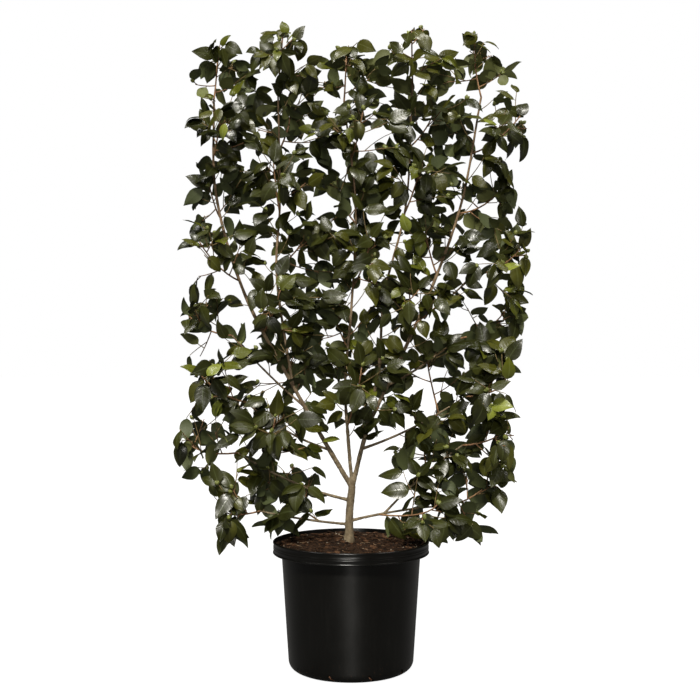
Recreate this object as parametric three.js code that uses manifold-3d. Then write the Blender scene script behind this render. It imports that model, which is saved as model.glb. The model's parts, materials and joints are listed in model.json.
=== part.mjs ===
// A camellia grown flat as a fan, in its black nursery pot.
// Millimetres, +Z up. The origin is the centre of the pot's flat underside and the front faces -Y.
import * as THREE from "three";
import { mergeVertices } from "three/addons/utils/BufferGeometryUtils.js";
import Module from "manifold-3d";

const wasm = await Module();
wasm.setup();

// Driving dimensions
const clear = 0.3;
const weld = 1e-3;

const pot = {
  height: 326,
  rimRadius: 200,
  lipRadius: 3,
  collarHeight: 31,
  collarThickness: 5,
  collarUnderside: 5,
  collarDraft: 1,
  shoulderRadius: 178,
  footRadius: 160,
  cornerRadius: 24,
  wall: 3,
  floor: 5,
  sides: 30,
};

const drain = {
  count: 10,
  size: [24, 6, 22],
  lean: 35,
  pitch: 40,
  setIn: 6,
  height: 14,
};

const soil = {
  edgeHeight: 317,
  crownHeight: 324,
  flatRadius: 32,
  ringRadii: [120],
};

const trunk = {
  height: 140,
  footRadius: 10.6,
  forkRadius: 9.4,
  flare: 0.42,
  flareHeight: 16,
  lean: [[-5, 0], [-4, 0], [3, 0]],
  footCut: [90, 90, 20],
};

// The faces round each kind of limb and its steps along. The first face looks along the given way.
const detail = {
  trunk: { sides: 10, steps: 6 },
  stem: { sides: 6, steps: 7 },
  bough: { sides: 4, steps: 3 },
  massStem: { sides: 3, steps: 2 },
  twig: { sides: 3, steps: 1 },
  samplesPerStep: 8,
  looksAlong: new THREE.Vector3(0.31, 0.95, 0.05),
};

// The main stems. Each starts on its parent at a fraction of the parent's length and goes through
// the points given, as [across, deep, high].
const stems = [
  {
    name: "left_leader",
    on: "trunk",
    at: 0.97,
    through: [[-66, 4, 575], [-150, 8, 723], [-274, 6, 959], [-346, -4, 1215], [-352, 4, 1456]],
    radii: [6.4, 2.6],
  },
  {
    name: "centre_leader",
    on: "trunk",
    at: 1,
    through: [[-8, -4, 595], [-15, 2, 726], [1, 8, 922], [12, -2, 1180], [-18, 4, 1450]],
    radii: [4.8, 2.3],
  },
  {
    name: "right_leader",
    on: "trunk",
    at: 0.97,
    through: [[44, 6, 613], [123, 4, 782], [217, -4, 998], [285, 2, 1197], [334, 4, 1462]],
    radii: [6, 2.6],
  },
  {
    name: "inner_left_stem",
    on: "left_leader",
    at: 0.4,
    through: [[-190, -12, 1010], [-182, -6, 1190], [-188, 6, 1492]],
    radii: [3.8, 2.2],
  },
  {
    name: "inner_right_stem",
    on: "right_leader",
    at: 0.16,
    through: [[71, -14, 770], [84, -10, 950], [140, 2, 1180], [158, 4, 1496]],
    radii: [4.2, 2.2],
  },
];

// The side boughs. Each leaves its parent and ends at its tip, bowed by the sag in the middle.
const boughs = [
  { side: "lowest_left", on: "trunk", at: 0.3, tip: [-232, -14, 402], sag: -4, radii: [3.6, 2] },
  { side: "low_left", on: "trunk", at: 0.74, tip: [-292, 18, 548], sag: -16, radii: [4, 2] },
  { side: "middle_left", on: "left_leader", at: 0.17, tip: [-268, -20, 680], sag: -14, radii: [3.2, 2] },
  { side: "upper_left", on: "left_leader", at: 0.33, tip: [-306, 16, 850], sag: -8, radii: [3, 2] },
  { side: "lowest_right", on: "trunk", at: 0.36, tip: [246, 14, 412], sag: 6, radii: [3.8, 2] },
  { side: "low_right", on: "lowest_right_bough", at: 0.36, tip: [284, -18, 570], sag: 10, radii: [2.8, 2] },
  { side: "middle_right", on: "right_leader", at: 0.13, tip: [292, 18, 692], sag: -12, radii: [3.4, 2] },
  { side: "upper_right", on: "right_leader", at: 0.33, tip: [272, -16, 842], sag: -8, radii: [3, 2] },
  { side: "high_right", on: "right_leader", at: 0.5, tip: [314, 14, 1004], sag: -6, radii: [3, 2] },
];

// The masses of foliage, row by row. Each row has its height, the two edges of the crown there,
// and for each mass its place across, what carries it, and how much it is lifted.
const rows = [
  {
    name: "lowest",
    height: 395,
    edges: [-352, 402],
    masses: [
      { side: "far_left", across: -290, on: "lowest_left_bough" },
      { side: "left", across: -165, on: "lowest_left_bough" },
      { side: "right", across: 165, on: "lowest_right_bough" },
      { side: "far_right", across: 310, on: "lowest_right_bough" },
    ],
  },
  {
    name: "low",
    height: 548,
    edges: [-474, 436],
    masses: [
      { side: "far_left", across: -372, on: "low_left_bough" },
      { side: "left", across: -205, on: "low_left_bough" },
      { side: "right", across: 190, on: "low_right_bough" },
      { side: "far_right", across: 350, on: "low_right_bough" },
    ],
  },
  {
    name: "lower",
    height: 705,
    edges: [-418, 424],
    masses: [
      { side: "far_left", across: -330, on: "middle_left_bough" },
      { side: "left", across: -160, on: "left_leader" },
      { side: "centre", across: 15, on: "centre_leader" },
      { side: "right", across: 205, on: "middle_right_bough" },
      { side: "far_right", across: 352, on: "middle_right_bough" },
    ],
  },
  {
    name: "middle",
    height: 865,
    edges: [-458, 462],
    masses: [
      { side: "far_left", across: -370, on: "upper_left_bough" },
      { side: "left", across: -200, on: "left_leader" },
      { side: "centre", across: -30, on: "centre_leader" },
      { side: "right", across: 150, on: "right_leader" },
      { side: "far_right", across: 346, on: "upper_right_bough" },
    ],
  },
  {
    name: "upper",
    height: 1025,
    edges: [-440, 462],
    masses: [
      { side: "far_left", across: -336, on: "left_leader" },
      { side: "left", across: -150, on: "inner_left_stem" },
      { side: "centre", across: 30, on: "centre_leader" },
      { side: "right", across: 205, on: "right_leader" },
      { side: "far_right", across: 378, on: "high_right_bough" },
    ],
  },
  {
    name: "high",
    height: 1185,
    edges: [-434, 446],
    masses: [
      { side: "far_left", across: -352, on: "left_leader" },
      { side: "left", across: -190, on: "inner_left_stem" },
      { side: "centre", across: -20, on: "centre_leader" },
      { side: "right", across: 160, on: "inner_right_stem" },
      { side: "far_right", across: 338, on: "right_leader" },
    ],
  },
  {
    name: "higher",
    height: 1345,
    edges: [-436, 464],
    masses: [
      { side: "far_left", across: -340, on: "left_leader" },
      { side: "left", across: -165, on: "inner_left_stem" },
      { side: "centre", across: 15, on: "centre_leader" },
      { side: "right", across: 190, on: "inner_right_stem" },
      { side: "far_right", across: 370, on: "right_leader" },
    ],
  },
  {
    name: "top",
    height: 1505,
    edges: [-430, 444],
    masses: [
      { side: "far_left", across: -350, on: "left_leader" },
      { side: "left", across: -180, on: "inner_left_stem", lift: -12 },
      { side: "centre", across: -15, on: "centre_leader" },
      { side: "right", across: 155, on: "inner_right_stem" },
      { side: "far_right", across: 325, on: "right_leader", lift: 20 },
    ],
  },
];

// How far a mass may spread from its middle, and the limits of the whole crown
const crown = {
  spread: new THREE.Vector3(142, 150, 128),
  sway: 30,
  stagger: 36,
  apart: 0.6,
  floor: 288,
  top: 1662,
  potGap: 6,
  footMargin: 4,
  footShare: 0.2,
  stride: 5,
  strideMargin: 3,
};

// The rule by which a mass grows from its stem
const growth = {
  stemRadii: [4.6, 4.2],
  stemClimb: 0.45,
  stemSight: 200,
  stemReach: 0.62,
  twigs: 4,
  twigTries: 6,
  twigFoot: 0.24,
  twigTurn: 137.5,
  twigRetryTurn: 52,
  twigSway: 30,
  twigSpread: [50, 84],
  twigFlat: 0.8,
  twigLift: 0.16,
  twigSag: -0.08,
  twigSight: 230,
  twigReach: [0.56, 0.8],
  twigLengths: [34, 120],
  twigRadii: [1.9, 1.8],
  twigMargin: 0.5,
  limbGap: 3,
};

// The leaves of a mass: their shape, as shares of their length, and the way that they point and face
const blade = {
  places: [0.4, 0.7, 0.96],
  tries: 40,
  lengths: [88, 122],
  shrink: 0.012,
  width: 0.62,
  thickness: 2.6,
  fold: 0.12,
  curl: 0.1,
  root: 0.6,
  widestAt: 0.42,
  ridgeAt: 0.3,
  ahead: 0.6,
  aside: [0.7, 1.2],
  tipAside: 0.6,
  droop: [-0.18, 0.6],
  frontBlur: 60,
  fanning: 900,
  faceSway: 0.7,
  faceLift: [0.35, 0.85],
  margin: 1,
  potGap: 2,
  room: 40.5,
  ampleRoom: 80,
  checks: [0.25, 0.5, 0.75],
};

const up = new THREE.Vector3(0, 0, 1);

// Materials
const shades = {
  pot: { color: 0x1b1b1a, roughness: 0.42, metalness: 0 },
  soil: { color: 0x3a281c, roughness: 0.95, metalness: 0 },
  bark: { color: 0x9a8468, roughness: 0.8, metalness: 0 },
  foliage: { color: 0x2f3b1d, roughness: 0.4, metalness: 0 },
};

function seeded(seed) {
  let state = seed >>> 0;
  return () => {
    state = (state + 0x6d2b79f5) >>> 0;
    let mix = Math.imul(state ^ (state >>> 15), 1 | state);
    mix = (mix + Math.imul(mix ^ (mix >>> 7), 61 | mix)) ^ mix;
    return ((mix ^ (mix >>> 14)) >>> 0) / 4294967296;
  };
}

// A number drawn from within a range
function within(range, draw) {
  return range[0] + (range[1] - range[0]) * draw();
}

// A closed geometry as a solid for joining and cutting, and back
function solidOf(geometry) {
  const plain = geometry.clone();
  plain.deleteAttribute("normal");
  plain.deleteAttribute("uv");
  const merged = mergeVertices(plain, weld);
  return new wasm.Manifold(
    new wasm.Mesh({
      numProp: 3,
      vertProperties: merged.attributes.position.array,
      triVerts: new Uint32Array(merged.index.array),
    }),
  );
}

function geometryOf(solid) {
  const mesh = solid.getMesh();
  const geometry = new THREE.BufferGeometry();
  geometry.setAttribute("position", new THREE.BufferAttribute(mesh.vertProperties, 3));
  geometry.setIndex(new THREE.BufferAttribute(mesh.triVerts, 1));
  geometry.computeVertexNormals();
  return geometry;
}

function nodeOf(name, solid, shade) {
  const mesh = new THREE.Mesh(geometryOf(solid), new THREE.MeshStandardMaterial(shade));
  mesh.name = name;
  return mesh;
}

// A lathe turned about the Z axis from [radius, height] pairs that start and end on the axis
function turned(profile, sides) {
  const points = profile.map(([radius, height]) => new THREE.Vector2(radius, height));
  return solidOf(new THREE.LatheGeometry(points, sides).rotateX(Math.PI / 2));
}

// Points of a rounded corner about its centre, between two angles in degrees
function corner(centre, radius, fromAngle, toAngle, steps) {
  return Array.from({ length: steps + 1 }, (_, i) => {
    const angle = THREE.MathUtils.degToRad(fromAngle + ((toAngle - fromAngle) * i) / steps);
    return [centre[0] + radius * Math.cos(angle), centre[1] + radius * Math.sin(angle)];
  });
}

// The body's outer radius at a height: it narrows evenly from the shoulder to the foot
function bodyRadius(height) {
  const shoulder = pot.height - pot.collarHeight + pot.collarUnderside;
  const part = (height - pot.cornerRadius) / (shoulder - pot.cornerRadius);
  return pot.footRadius + (pot.shoulderRadius - pot.footRadius) * part;
}

// The inside of the pot from its floor up to a height, set in by a gap
function insideProfile(topHeight, gap) {
  const shoulder = pot.height - pot.collarHeight;
  const inset = pot.wall + gap;
  const floorHeight = pot.floor + gap;
  const bend = pot.cornerRadius - inset;
  const bendCentre = [bodyRadius(pot.cornerRadius) - pot.cornerRadius, floorHeight + bend];
  return [
    [0, floorHeight],
    ...corner(bendCentre, bend, -90, 0, 1),
    [bodyRadius(shoulder) - inset, shoulder],
    [pot.rimRadius - pot.collarThickness - gap, shoulder + pot.collarUnderside],
    [pot.rimRadius - pot.collarThickness - gap, topHeight],
  ];
}

function buildPot() {
  const collarFoot = pot.height - pot.collarHeight;
  const footCentre = [bodyRadius(pot.cornerRadius) - pot.cornerRadius, pot.cornerRadius];
  const rimCentre = [pot.rimRadius - pot.lipRadius, pot.height - pot.lipRadius];
  const outside = [
    [0, 0],
    ...corner(footCentre, pot.cornerRadius, -90, 0, 3),
    [pot.shoulderRadius, collarFoot + pot.collarUnderside],
    [pot.rimRadius - pot.lipRadius, collarFoot],
    [pot.rimRadius - pot.collarDraft, collarFoot + pot.lipRadius],
    ...corner(rimCentre, pot.lipRadius, 0, 90, 2),
  ];
  const inside = insideProfile(pot.height, 0).reverse();
  let body = turned([...outside, ...inside], pot.sides);
  // Slanting drain slots round the rounded foot
  const slot = new THREE.BoxGeometry(...drain.size);
  slot.rotateX(THREE.MathUtils.degToRad(drain.lean)).rotateY(THREE.MathUtils.degToRad(drain.pitch));
  slot.translate(pot.footRadius - drain.setIn, 0, drain.height);
  for (let i = 0; i < drain.count; i++) {
    const cutter = slot.clone().rotateZ((2 * Math.PI * i) / drain.count);
    body = body.subtract(solidOf(cutter));
  }
  return nodeOf("pot", body, shades.pot);
}

function buildSoil() {
  const rise = soil.crownHeight - soil.edgeHeight;
  const edgeRadius = pot.rimRadius - pot.collarThickness - clear;
  const mound = soil.ringRadii.map((radius) => {
    const part = (radius - soil.flatRadius) / (edgeRadius - soil.flatRadius);
    return [radius, soil.crownHeight - rise * part * part];
  });
  const profile = [
    ...insideProfile(soil.edgeHeight, clear),
    ...mound.reverse(),
    [soil.flatRadius, soil.crownHeight],
    [0, soil.crownHeight],
  ];
  return nodeOf("soil", turned(profile, pot.sides), shades.soil);
}

// A tapering limb along a curve. The radius is a function of the fraction of its length.
function bent(curve, radiusAt, { sides, steps }) {
  const geometry = new THREE.CylinderGeometry(1, 1, 1, sides, steps);
  const places = geometry.attributes.position;
  const seen = new THREE.Vector3();
  for (let i = 0; i < places.count; i++) {
    seen.fromBufferAttribute(places, i);
    const part = seen.y + 0.5;
    const along = curve.getTangent(part);
    const across = detail.looksAlong.clone().cross(along).normalize();
    const deep = across.clone().cross(along);
    const radius = radiusAt(part);
    const place = curve.getPoint(part).addScaledVector(across, seen.x * radius);
    place.addScaledVector(deep, seen.z * radius);
    places.setXYZ(i, place.x, place.y, place.z);
  }
  return solidOf(geometry);
}

function taper(radii) {
  return (part) => radii[0] + (radii[1] - radii[0]) * part;
}

// Limbs, each with its curve, radius and points along it that foliage keeps clear of
const limbs = new Map();

function addLimb(name, curve, radiusAt, kind) {
  const count = kind.steps * detail.samplesPerStep;
  const samples = Array.from({ length: count + 1 }, (_, i) => {
    return { place: curve.getPoint(i / count), radius: radiusAt(i / count) };
  });
  const solid = bent(curve, radiusAt, kind);
  const room = bent(curve, (part) => radiusAt(part) + clear, kind);
  limbs.set(name, { name, curve, solid, room, samples });
}

function buildTrunk() {
  const points = trunk.lean.map(([x, y], i) => {
    const height = soil.crownHeight + clear + (trunk.height * i) / (trunk.lean.length - 1);
    return new THREE.Vector3(x, y, height);
  });
  const plain = taper([trunk.footRadius, trunk.forkRadius]);
  const radiusAt = (part) => {
    return plain(part) * (1 + trunk.flare * Math.exp((-part * trunk.height) / trunk.flareHeight));
  };
  addLimb("trunk", new THREE.CatmullRomCurve3(points), radiusAt, detail.trunk);
  // The foot is cut level where it stands on the soil
  const limb = limbs.get("trunk");
  const below = new THREE.BoxGeometry(...trunk.footCut);
  below.translate(0, 0, soil.crownHeight + clear - trunk.footCut[2] / 2);
  limb.solid = limb.solid.subtract(solidOf(below));
}

function buildStems() {
  for (const stem of stems) {
    const start = limbs.get(stem.on).curve.getPoint(stem.at);
    const points = [start, ...stem.through.map((place) => new THREE.Vector3(...place))];
    addLimb(stem.name, new THREE.CatmullRomCurve3(points), taper(stem.radii), detail.stem);
  }
  for (const bough of boughs) {
    const start = limbs.get(bough.on).curve.getPoint(bough.at);
    const tip = new THREE.Vector3(...bough.tip);
    const middle = start.clone().lerp(tip, 0.5).addScaledVector(up, bough.sag * 2);
    const curve = new THREE.QuadraticBezierCurve3(start, middle, tip);
    addLimb(bough.side + "_bough", curve, taper(bough.radii), detail.bough);
  }
  // Each limb is cut back to the face of the one that it grows from
  const names = [...limbs.keys()];
  names.forEach((name, i) => {
    const limb = limbs.get(name);
    for (const earlier of names.slice(0, i)) {
      limb.solid = limb.solid.subtract(limbs.get(earlier).room);
    }
    limb.solid = largest(limb.solid);
  });
}

// The largest closed body: loose scraps are dropped and sealed hollows filled
function largest(solid) {
  const bodies = solidOf(geometryOf(solid)).decompose();
  return bodies.reduce((best, body) => (body.volume() > best.volume() ? body : best));
}

// The masses, each with its middle and the limits of its space
const masses = rows.flatMap((row, rowIndex) =>
  row.masses.map((mass, i) => {
    const deep = (rowIndex + i) % 2 ? crown.sway : -crown.sway;
    const rise = (i % 2 ? crown.stagger : 0) + (mass.lift ?? 0);
    return {
      name: ["foliage", row.name, mass.side].join("_"),
      on: mass.on,
      edges: row.edges,
      middle: new THREE.Vector3(mass.across, deep, row.height + rise),
      seed: 100 * (rowIndex + 1) + i,
    };
  }),
);

function inPot(place, gap) {
  const radius = Math.hypot(place.x, place.y);
  return radius < pot.rimRadius + gap && place.z < pot.height + gap;
}

// Whether a place lies in a mass's own space: nearer its middle than any other, and inside its reach
function inSpace(mass, place, margin) {
  const away = place.clone().sub(mass.middle);
  if (away.clone().divide(crown.spread).length() > 1) return false;
  if (place.x < mass.edges[0] + margin || place.x > mass.edges[1] - margin) return false;
  if (place.z < crown.floor + margin || place.z > crown.top - margin) return false;
  if (inPot(place, crown.potGap + margin)) return false;
  return masses.every((other) => {
    if (other === mass) return true;
    const between = other.middle.distanceTo(mass.middle);
    const nearer = place.distanceToSquared(other.middle) - away.lengthSq();
    return nearer / (2 * between) > margin + crown.apart;
  });
}

// How far a mass's space goes on from a place in one direction
function reachIn(mass, from, direction, limit) {
  let far = 0;
  for (let next = crown.stride; next <= limit; next += crown.stride) {
    if (!inSpace(mass, from.clone().addScaledVector(direction, next), crown.strideMargin)) break;
    far = next;
  }
  return far;
}

function clearOfLimbs(place, gap) {
  for (const limb of limbs.values()) {
    for (const sample of limb.samples) {
      if (place.distanceTo(sample.place) < sample.radius + gap) return false;
    }
  }
  return true;
}

// Where a mass's stem leaves its limb: at the tip, or low on the stretch inside its space
function footOf(mass) {
  const limb = limbs.get(mass.on);
  const places = limb.samples.map((sample) => sample.place);
  const inside = places.filter((place) => inSpace(mass, place, crown.footMargin));
  if (!inside.length) throw new Error(mass.name + " has no foot on " + mass.on);
  const tip = places[places.length - 1];
  return inside.includes(tip) ? tip : inside[Math.floor(inside.length * crown.footShare)];
}

// The way a leaf at a place faces: out of the flat fan, front or back, and up
function facing(place, draw) {
  const side = place.y + blade.frontBlur * (draw() - 0.5) < 0 ? -1 : 1;
  const out = new THREE.Vector3(place.x / blade.fanning, side, within(blade.faceLift, draw));
  out.x += blade.faceSway * (draw() - 0.5);
  return out.normalize();
}

// One leaf: a folded blade of eight faces whose root is sunk in its twig
function leafPoints(root, along, face, length) {
  const across = along.clone().cross(face).normalize();
  const normal = across.clone().cross(along).normalize();
  const half = (length * blade.width) / 2;
  const at = (part, side, rise) => {
    const place = root.clone().addScaledVector(along, length * part);
    return place.addScaledVector(across, side).addScaledVector(normal, rise);
  };
  const fold = length * blade.fold;
  return {
    right: at(blade.widestAt, half, fold),
    left: at(blade.widestAt, -half, fold),
    tip: at(1, 0, -length * blade.curl),
    root: root.clone().addScaledVector(along, -blade.root),
    face: at(blade.ridgeAt, 0, blade.thickness / 2),
    back: at(blade.ridgeAt, 0, -blade.thickness / 2),
  };
}

function leafSolid(points) {
  // The octahedron's corners lie at +X, -X, +Y, -Y, +Z and -Z
  const corners = [points.right, points.left, points.tip, points.root, points.face, points.back];
  const geometry = new THREE.OctahedronGeometry(1, 0);
  const places = geometry.attributes.position;
  const seen = new THREE.Vector3();
  for (let i = 0; i < places.count; i++) {
    seen.fromBufferAttribute(places, i);
    const axis = seen.toArray().findIndex((value) => Math.abs(value) > 0.5);
    const place = corners[2 * axis + (seen.getComponent(axis) > 0 ? 0 : 1)];
    places.setXYZ(i, place.x, place.y, place.z);
  }
  return solidOf(geometry);
}

// The edges round a leaf, each from a corner to the next
function rimOf(leaf) {
  const rim = [leaf.root, leaf.right, leaf.tip, leaf.left];
  return rim.map((place, i) => [place, rim[(i + 1) % rim.length]]);
}

// Whether a segment goes through a leaf's blade
function pierces(start, end, leaf) {
  const ray = new THREE.Ray(start, end.clone().sub(start).normalize());
  return rimOf(leaf).some(([from, to]) => {
    const hit = ray.intersectTriangle(from, to, leaf.face, false, new THREE.Vector3());
    return hit !== null && hit.distanceTo(start) <= start.distanceTo(end);
  });
}

function edgesOf(leaf) {
  return [...rimOf(leaf), [leaf.root, leaf.face], [leaf.face, leaf.tip]];
}

function leavesCross(one, other) {
  if (one.face.distanceTo(other.face) > blade.lengths[1]) return false;
  return (
    edgesOf(one).some(([start, end]) => pierces(start, end, other)) ||
    edgesOf(other).some(([start, end]) => pierces(start, end, one))
  );
}

function twigCrosses(twig, leaf) {
  const places = twig.curve.getPoints(4);
  return places.slice(1).some((place, i) => pierces(places[i], place, leaf));
}

function leafFits(mass, points) {
  const rim = [points.right, points.left, points.tip, points.face];
  if (!rim.every((place) => inSpace(mass, place, blade.margin))) return false;
  const { root, right, left, tip } = points;
  const lines = [[root, right], [root, left], [tip, right], [tip, left], [right, left], [root, tip]];
  const inner = lines.flatMap(([from, to]) => blade.checks.map((part) => from.clone().lerp(to, part)));
  return [...rim, ...inner].every((place) => {
    return !inPot(place, blade.potGap) && clearOfLimbs(place, growth.limbGap);
  });
}

function twigFits(mass, curve, radius) {
  return curve.getPoints(8).slice(2).every((place) => {
    return inSpace(mass, place, radius + growth.twigMargin) && clearOfLimbs(place, radius + growth.limbGap);
  });
}

// The stem of a mass: it goes from its limb through the middle of the space and climbs
function growStem(mass) {
  const foot = footOf(mass);
  const heading = mass.middle.clone().sub(foot).normalize();
  heading.addScaledVector(up, growth.stemClimb).normalize();
  const far = reachIn(mass, mass.middle, heading, growth.stemSight);
  const tip = mass.middle.clone().addScaledVector(heading, far * growth.stemReach);
  const bend = mass.middle.clone().multiplyScalar(2).sub(foot.clone().add(tip).multiplyScalar(0.5));
  const curve = new THREE.QuadraticBezierCurve3(foot.clone(), bend, tip);
  return { curve, radii: growth.stemRadii, kind: detail.massStem };
}

// A twig on the stem, turned on from the last one. It is tried again where it leaves the space.
function growTwig(mass, stem, index, draw) {
  const part = growth.twigFoot + ((1 - growth.twigFoot) * index) / growth.twigs;
  const start = stem.getPoint(part);
  const along = stem.getTangent(part);
  const sideways = new THREE.Vector3(0, 1, 0).cross(along).normalize();
  for (let go = 0; go < growth.twigTries; go++) {
    const turn = growth.twigTurn * index + growth.twigRetryTurn * go + growth.twigSway * (draw() - 0.5);
    const out = sideways.clone().applyAxisAngle(along, THREE.MathUtils.degToRad(turn));
    out.y *= growth.twigFlat;
    out.normalize();
    const spread = THREE.MathUtils.degToRad(within(growth.twigSpread, draw));
    const heading = along.clone().multiplyScalar(Math.cos(spread)).addScaledVector(out, Math.sin(spread));
    heading.addScaledVector(up, growth.twigLift).normalize();
    const reach = reachIn(mass, start, heading, growth.twigSight) * within(growth.twigReach, draw);
    const length = Math.min(reach, growth.twigLengths[1]);
    if (length < growth.twigLengths[0]) continue;
    const end = start.clone().addScaledVector(heading, length);
    const knee = start.clone().lerp(end, 0.5).addScaledVector(up, growth.twigSag * length);
    const curve = new THREE.QuadraticBezierCurve3(start, knee, end);
    if (!twigFits(mass, curve, growth.twigRadii[0])) continue;
    return { curve, radii: growth.twigRadii, kind: detail.twig };
  }
  return null;
}

// Every leaf grown so far, so that the next takes the emptiest place of several
const grown = [];

// A leaf on a twig: of many ways that it may point, the one with the most room for the largest blade
function growLeaf(place, count, fits, draw) {
  const root = place.twig.curve.getPoint(place.part);
  const along = place.twig.curve.getTangent(place.part);
  let best = null;
  for (let go = 0; go < blade.tries; go++) {
    const face = facing(root, draw);
    const across = along.clone().cross(face).normalize();
    const hand = (count + go) % 2 ? 1 : -1;
    const ahead = place.atTip ? 1 : blade.ahead * draw();
    const aside = place.atTip ? blade.tipAside * draw() : within(blade.aside, draw);
    const heading = along.clone().multiplyScalar(ahead).addScaledVector(across, hand * aside);
    heading.addScaledVector(up, -within(blade.droop, draw)).normalize();
    const length = within(blade.lengths, draw) * (1 - blade.shrink * go);
    const leaf = leafPoints(root, heading, face, length);
    const room = Math.min(...grown.map((other) => other.face.distanceTo(leaf.face)));
    const worth = Math.min(room, blade.ampleRoom) * length;
    if (room < blade.room || (best && worth < best.worth) || !fits(leaf)) continue;
    best = { leaf, worth };
  }
  return best ? best.leaf : null;
}

// Grows one mass: a stem from its limb, twigs round the stem, and leaves along the twigs
function growMass(mass) {
  const draw = seeded(mass.seed);
  const twigs = [growStem(mass)];
  for (let i = 0; i < growth.twigs; i++) {
    const twig = growTwig(mass, twigs[0].curve, i, draw);
    if (twig) twigs.push(twig);
  }
  const leaves = [];
  twigs.forEach((twig, twigIndex) => {
    const others = twigs.filter((other) => other !== twig);
    blade.places.forEach((part, i) => {
      const fits = (leaf) => {
        if (!leafFits(mass, leaf) || leaves.some((other) => leavesCross(other, leaf))) return false;
        return !others.some((other) => twigCrosses(other, leaf));
      };
      const atTip = i === blade.places.length - 1;
      const leaf = growLeaf({ twig, part, atTip }, twigIndex + i, fits, draw);
      if (!leaf) return;
      leaves.push(leaf);
      grown.push(leaf);
    });
  });
  return { twigs, leaves };
}

function buildMass(mass) {
  const { twigs, leaves } = growMass(mass);
  let solid = twigs
    .map((twig) => bent(twig.curve, taper(twig.radii), twig.kind))
    .reduce((all, twig) => all.add(twig));
  for (const leaf of leaves) solid = solid.add(leafSolid(leaf));
  for (const limb of limbs.values()) solid = solid.subtract(limb.room);
  return nodeOf(mass.name, largest(solid), shades.foliage);
}

// The whole plant
buildTrunk();
buildStems();
const plant = new THREE.Group();
plant.add(buildPot(), buildSoil());
for (const limb of limbs.values()) plant.add(nodeOf(limb.name, limb.solid, shades.bark));
for (const mass of masses) plant.add(buildMass(mass));

export default plant;
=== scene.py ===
import json
import math

import bpy
import numpy as np
from mathutils import Euler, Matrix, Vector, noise

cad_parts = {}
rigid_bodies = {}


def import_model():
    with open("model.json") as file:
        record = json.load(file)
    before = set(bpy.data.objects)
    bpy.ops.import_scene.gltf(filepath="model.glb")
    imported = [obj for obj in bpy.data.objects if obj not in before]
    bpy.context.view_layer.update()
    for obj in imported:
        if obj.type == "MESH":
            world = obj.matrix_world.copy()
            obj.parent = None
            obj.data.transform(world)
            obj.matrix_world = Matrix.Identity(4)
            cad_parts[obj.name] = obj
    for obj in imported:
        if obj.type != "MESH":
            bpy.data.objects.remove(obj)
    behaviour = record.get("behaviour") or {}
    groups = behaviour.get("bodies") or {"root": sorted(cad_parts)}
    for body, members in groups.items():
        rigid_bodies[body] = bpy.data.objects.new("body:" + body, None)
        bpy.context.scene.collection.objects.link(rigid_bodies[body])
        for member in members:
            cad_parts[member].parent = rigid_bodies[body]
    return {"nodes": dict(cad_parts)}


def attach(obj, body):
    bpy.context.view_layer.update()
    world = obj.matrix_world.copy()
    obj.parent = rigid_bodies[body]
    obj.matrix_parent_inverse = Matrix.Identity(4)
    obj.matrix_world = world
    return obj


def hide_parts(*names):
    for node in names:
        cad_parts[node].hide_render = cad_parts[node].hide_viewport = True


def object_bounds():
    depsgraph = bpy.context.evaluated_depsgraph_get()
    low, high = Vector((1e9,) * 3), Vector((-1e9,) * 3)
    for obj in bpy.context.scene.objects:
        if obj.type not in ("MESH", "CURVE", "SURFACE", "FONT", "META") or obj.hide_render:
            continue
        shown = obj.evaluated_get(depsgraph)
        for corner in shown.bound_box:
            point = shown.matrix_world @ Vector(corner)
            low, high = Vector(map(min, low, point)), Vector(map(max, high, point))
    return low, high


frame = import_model()
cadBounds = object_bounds()
foliageNodes = sorted(name for name in frame["nodes"] if name.startswith("foliage_"))
up = np.array([0.0, 0.0, 1.0])
fullTurn = 6.3  # radians, for random turns


# Small helpers

def report(stage):
    print("camellia:", stage)


def clearSelection():
    if bpy.context.object and bpy.context.object.mode != "OBJECT":
        bpy.ops.object.mode_set(mode="OBJECT")
    bpy.ops.object.select_all(action="DESELECT")


def pick(*objects):
    clearSelection()
    for chosen in objects:
        chosen.select_set(True)
    bpy.context.view_layer.objects.active = objects[0]
    return objects[0]


def settle(piece):
    # the place goes into the mesh, so the object sits at the origin
    pick(piece)
    bpy.ops.object.transform_apply(location=True, rotation=True, scale=True)


def applyModifiers(piece):
    pick(piece)
    for modifier in list(piece.modifiers):
        bpy.ops.object.modifier_apply(modifier=modifier.name)


def smoothPiece(piece, below=None):
    # smooth all over, or only where faces meet at less than so many degrees
    pick(piece)
    if below:
        bpy.ops.object.shade_smooth_by_angle(angle=math.radians(below))
    else:
        bpy.ops.object.shade_smooth()


def closeMesh():
    # in edit mode: doubles are merged and the faces turned outwards
    bpy.ops.mesh.select_all(action="SELECT")
    bpy.ops.mesh.remove_doubles(threshold=1e-6)
    bpy.ops.mesh.normals_make_consistent(inside=False)
    bpy.ops.object.mode_set(mode="OBJECT")


def addObject(name, data):
    added = bpy.data.objects.new(name, data)
    bpy.context.scene.collection.objects.link(added)
    return added


def finishPiece(piece, material, slot, *nodes):
    piece.data.materials.clear()
    piece.data.materials.append(material)
    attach(piece, "root")
    if nodes:
        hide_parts(*nodes)


def unit(vector):
    return vector / np.linalg.norm(vector)


def between(span, part):
    return span[0] + (span[1] - span[0]) * part


def held(value):
    return min(1.0, max(0.0, value))


def seeded(seed):
    # the same generator as in the part's source
    word = 0xFFFFFFFF
    state = seed & word

    def draw():
        nonlocal state
        state = (state + 0x6D2B79F5) & word
        mix = ((state ^ (state >> 15)) * (1 | state)) & word
        mix = ((mix + (mix ^ (mix >> 7)) * (61 | mix)) & word) ^ mix
        return (mix ^ (mix >> 14)) / (word + 1)

    return draw


# Shader helpers and the effects that several finishes share

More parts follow.
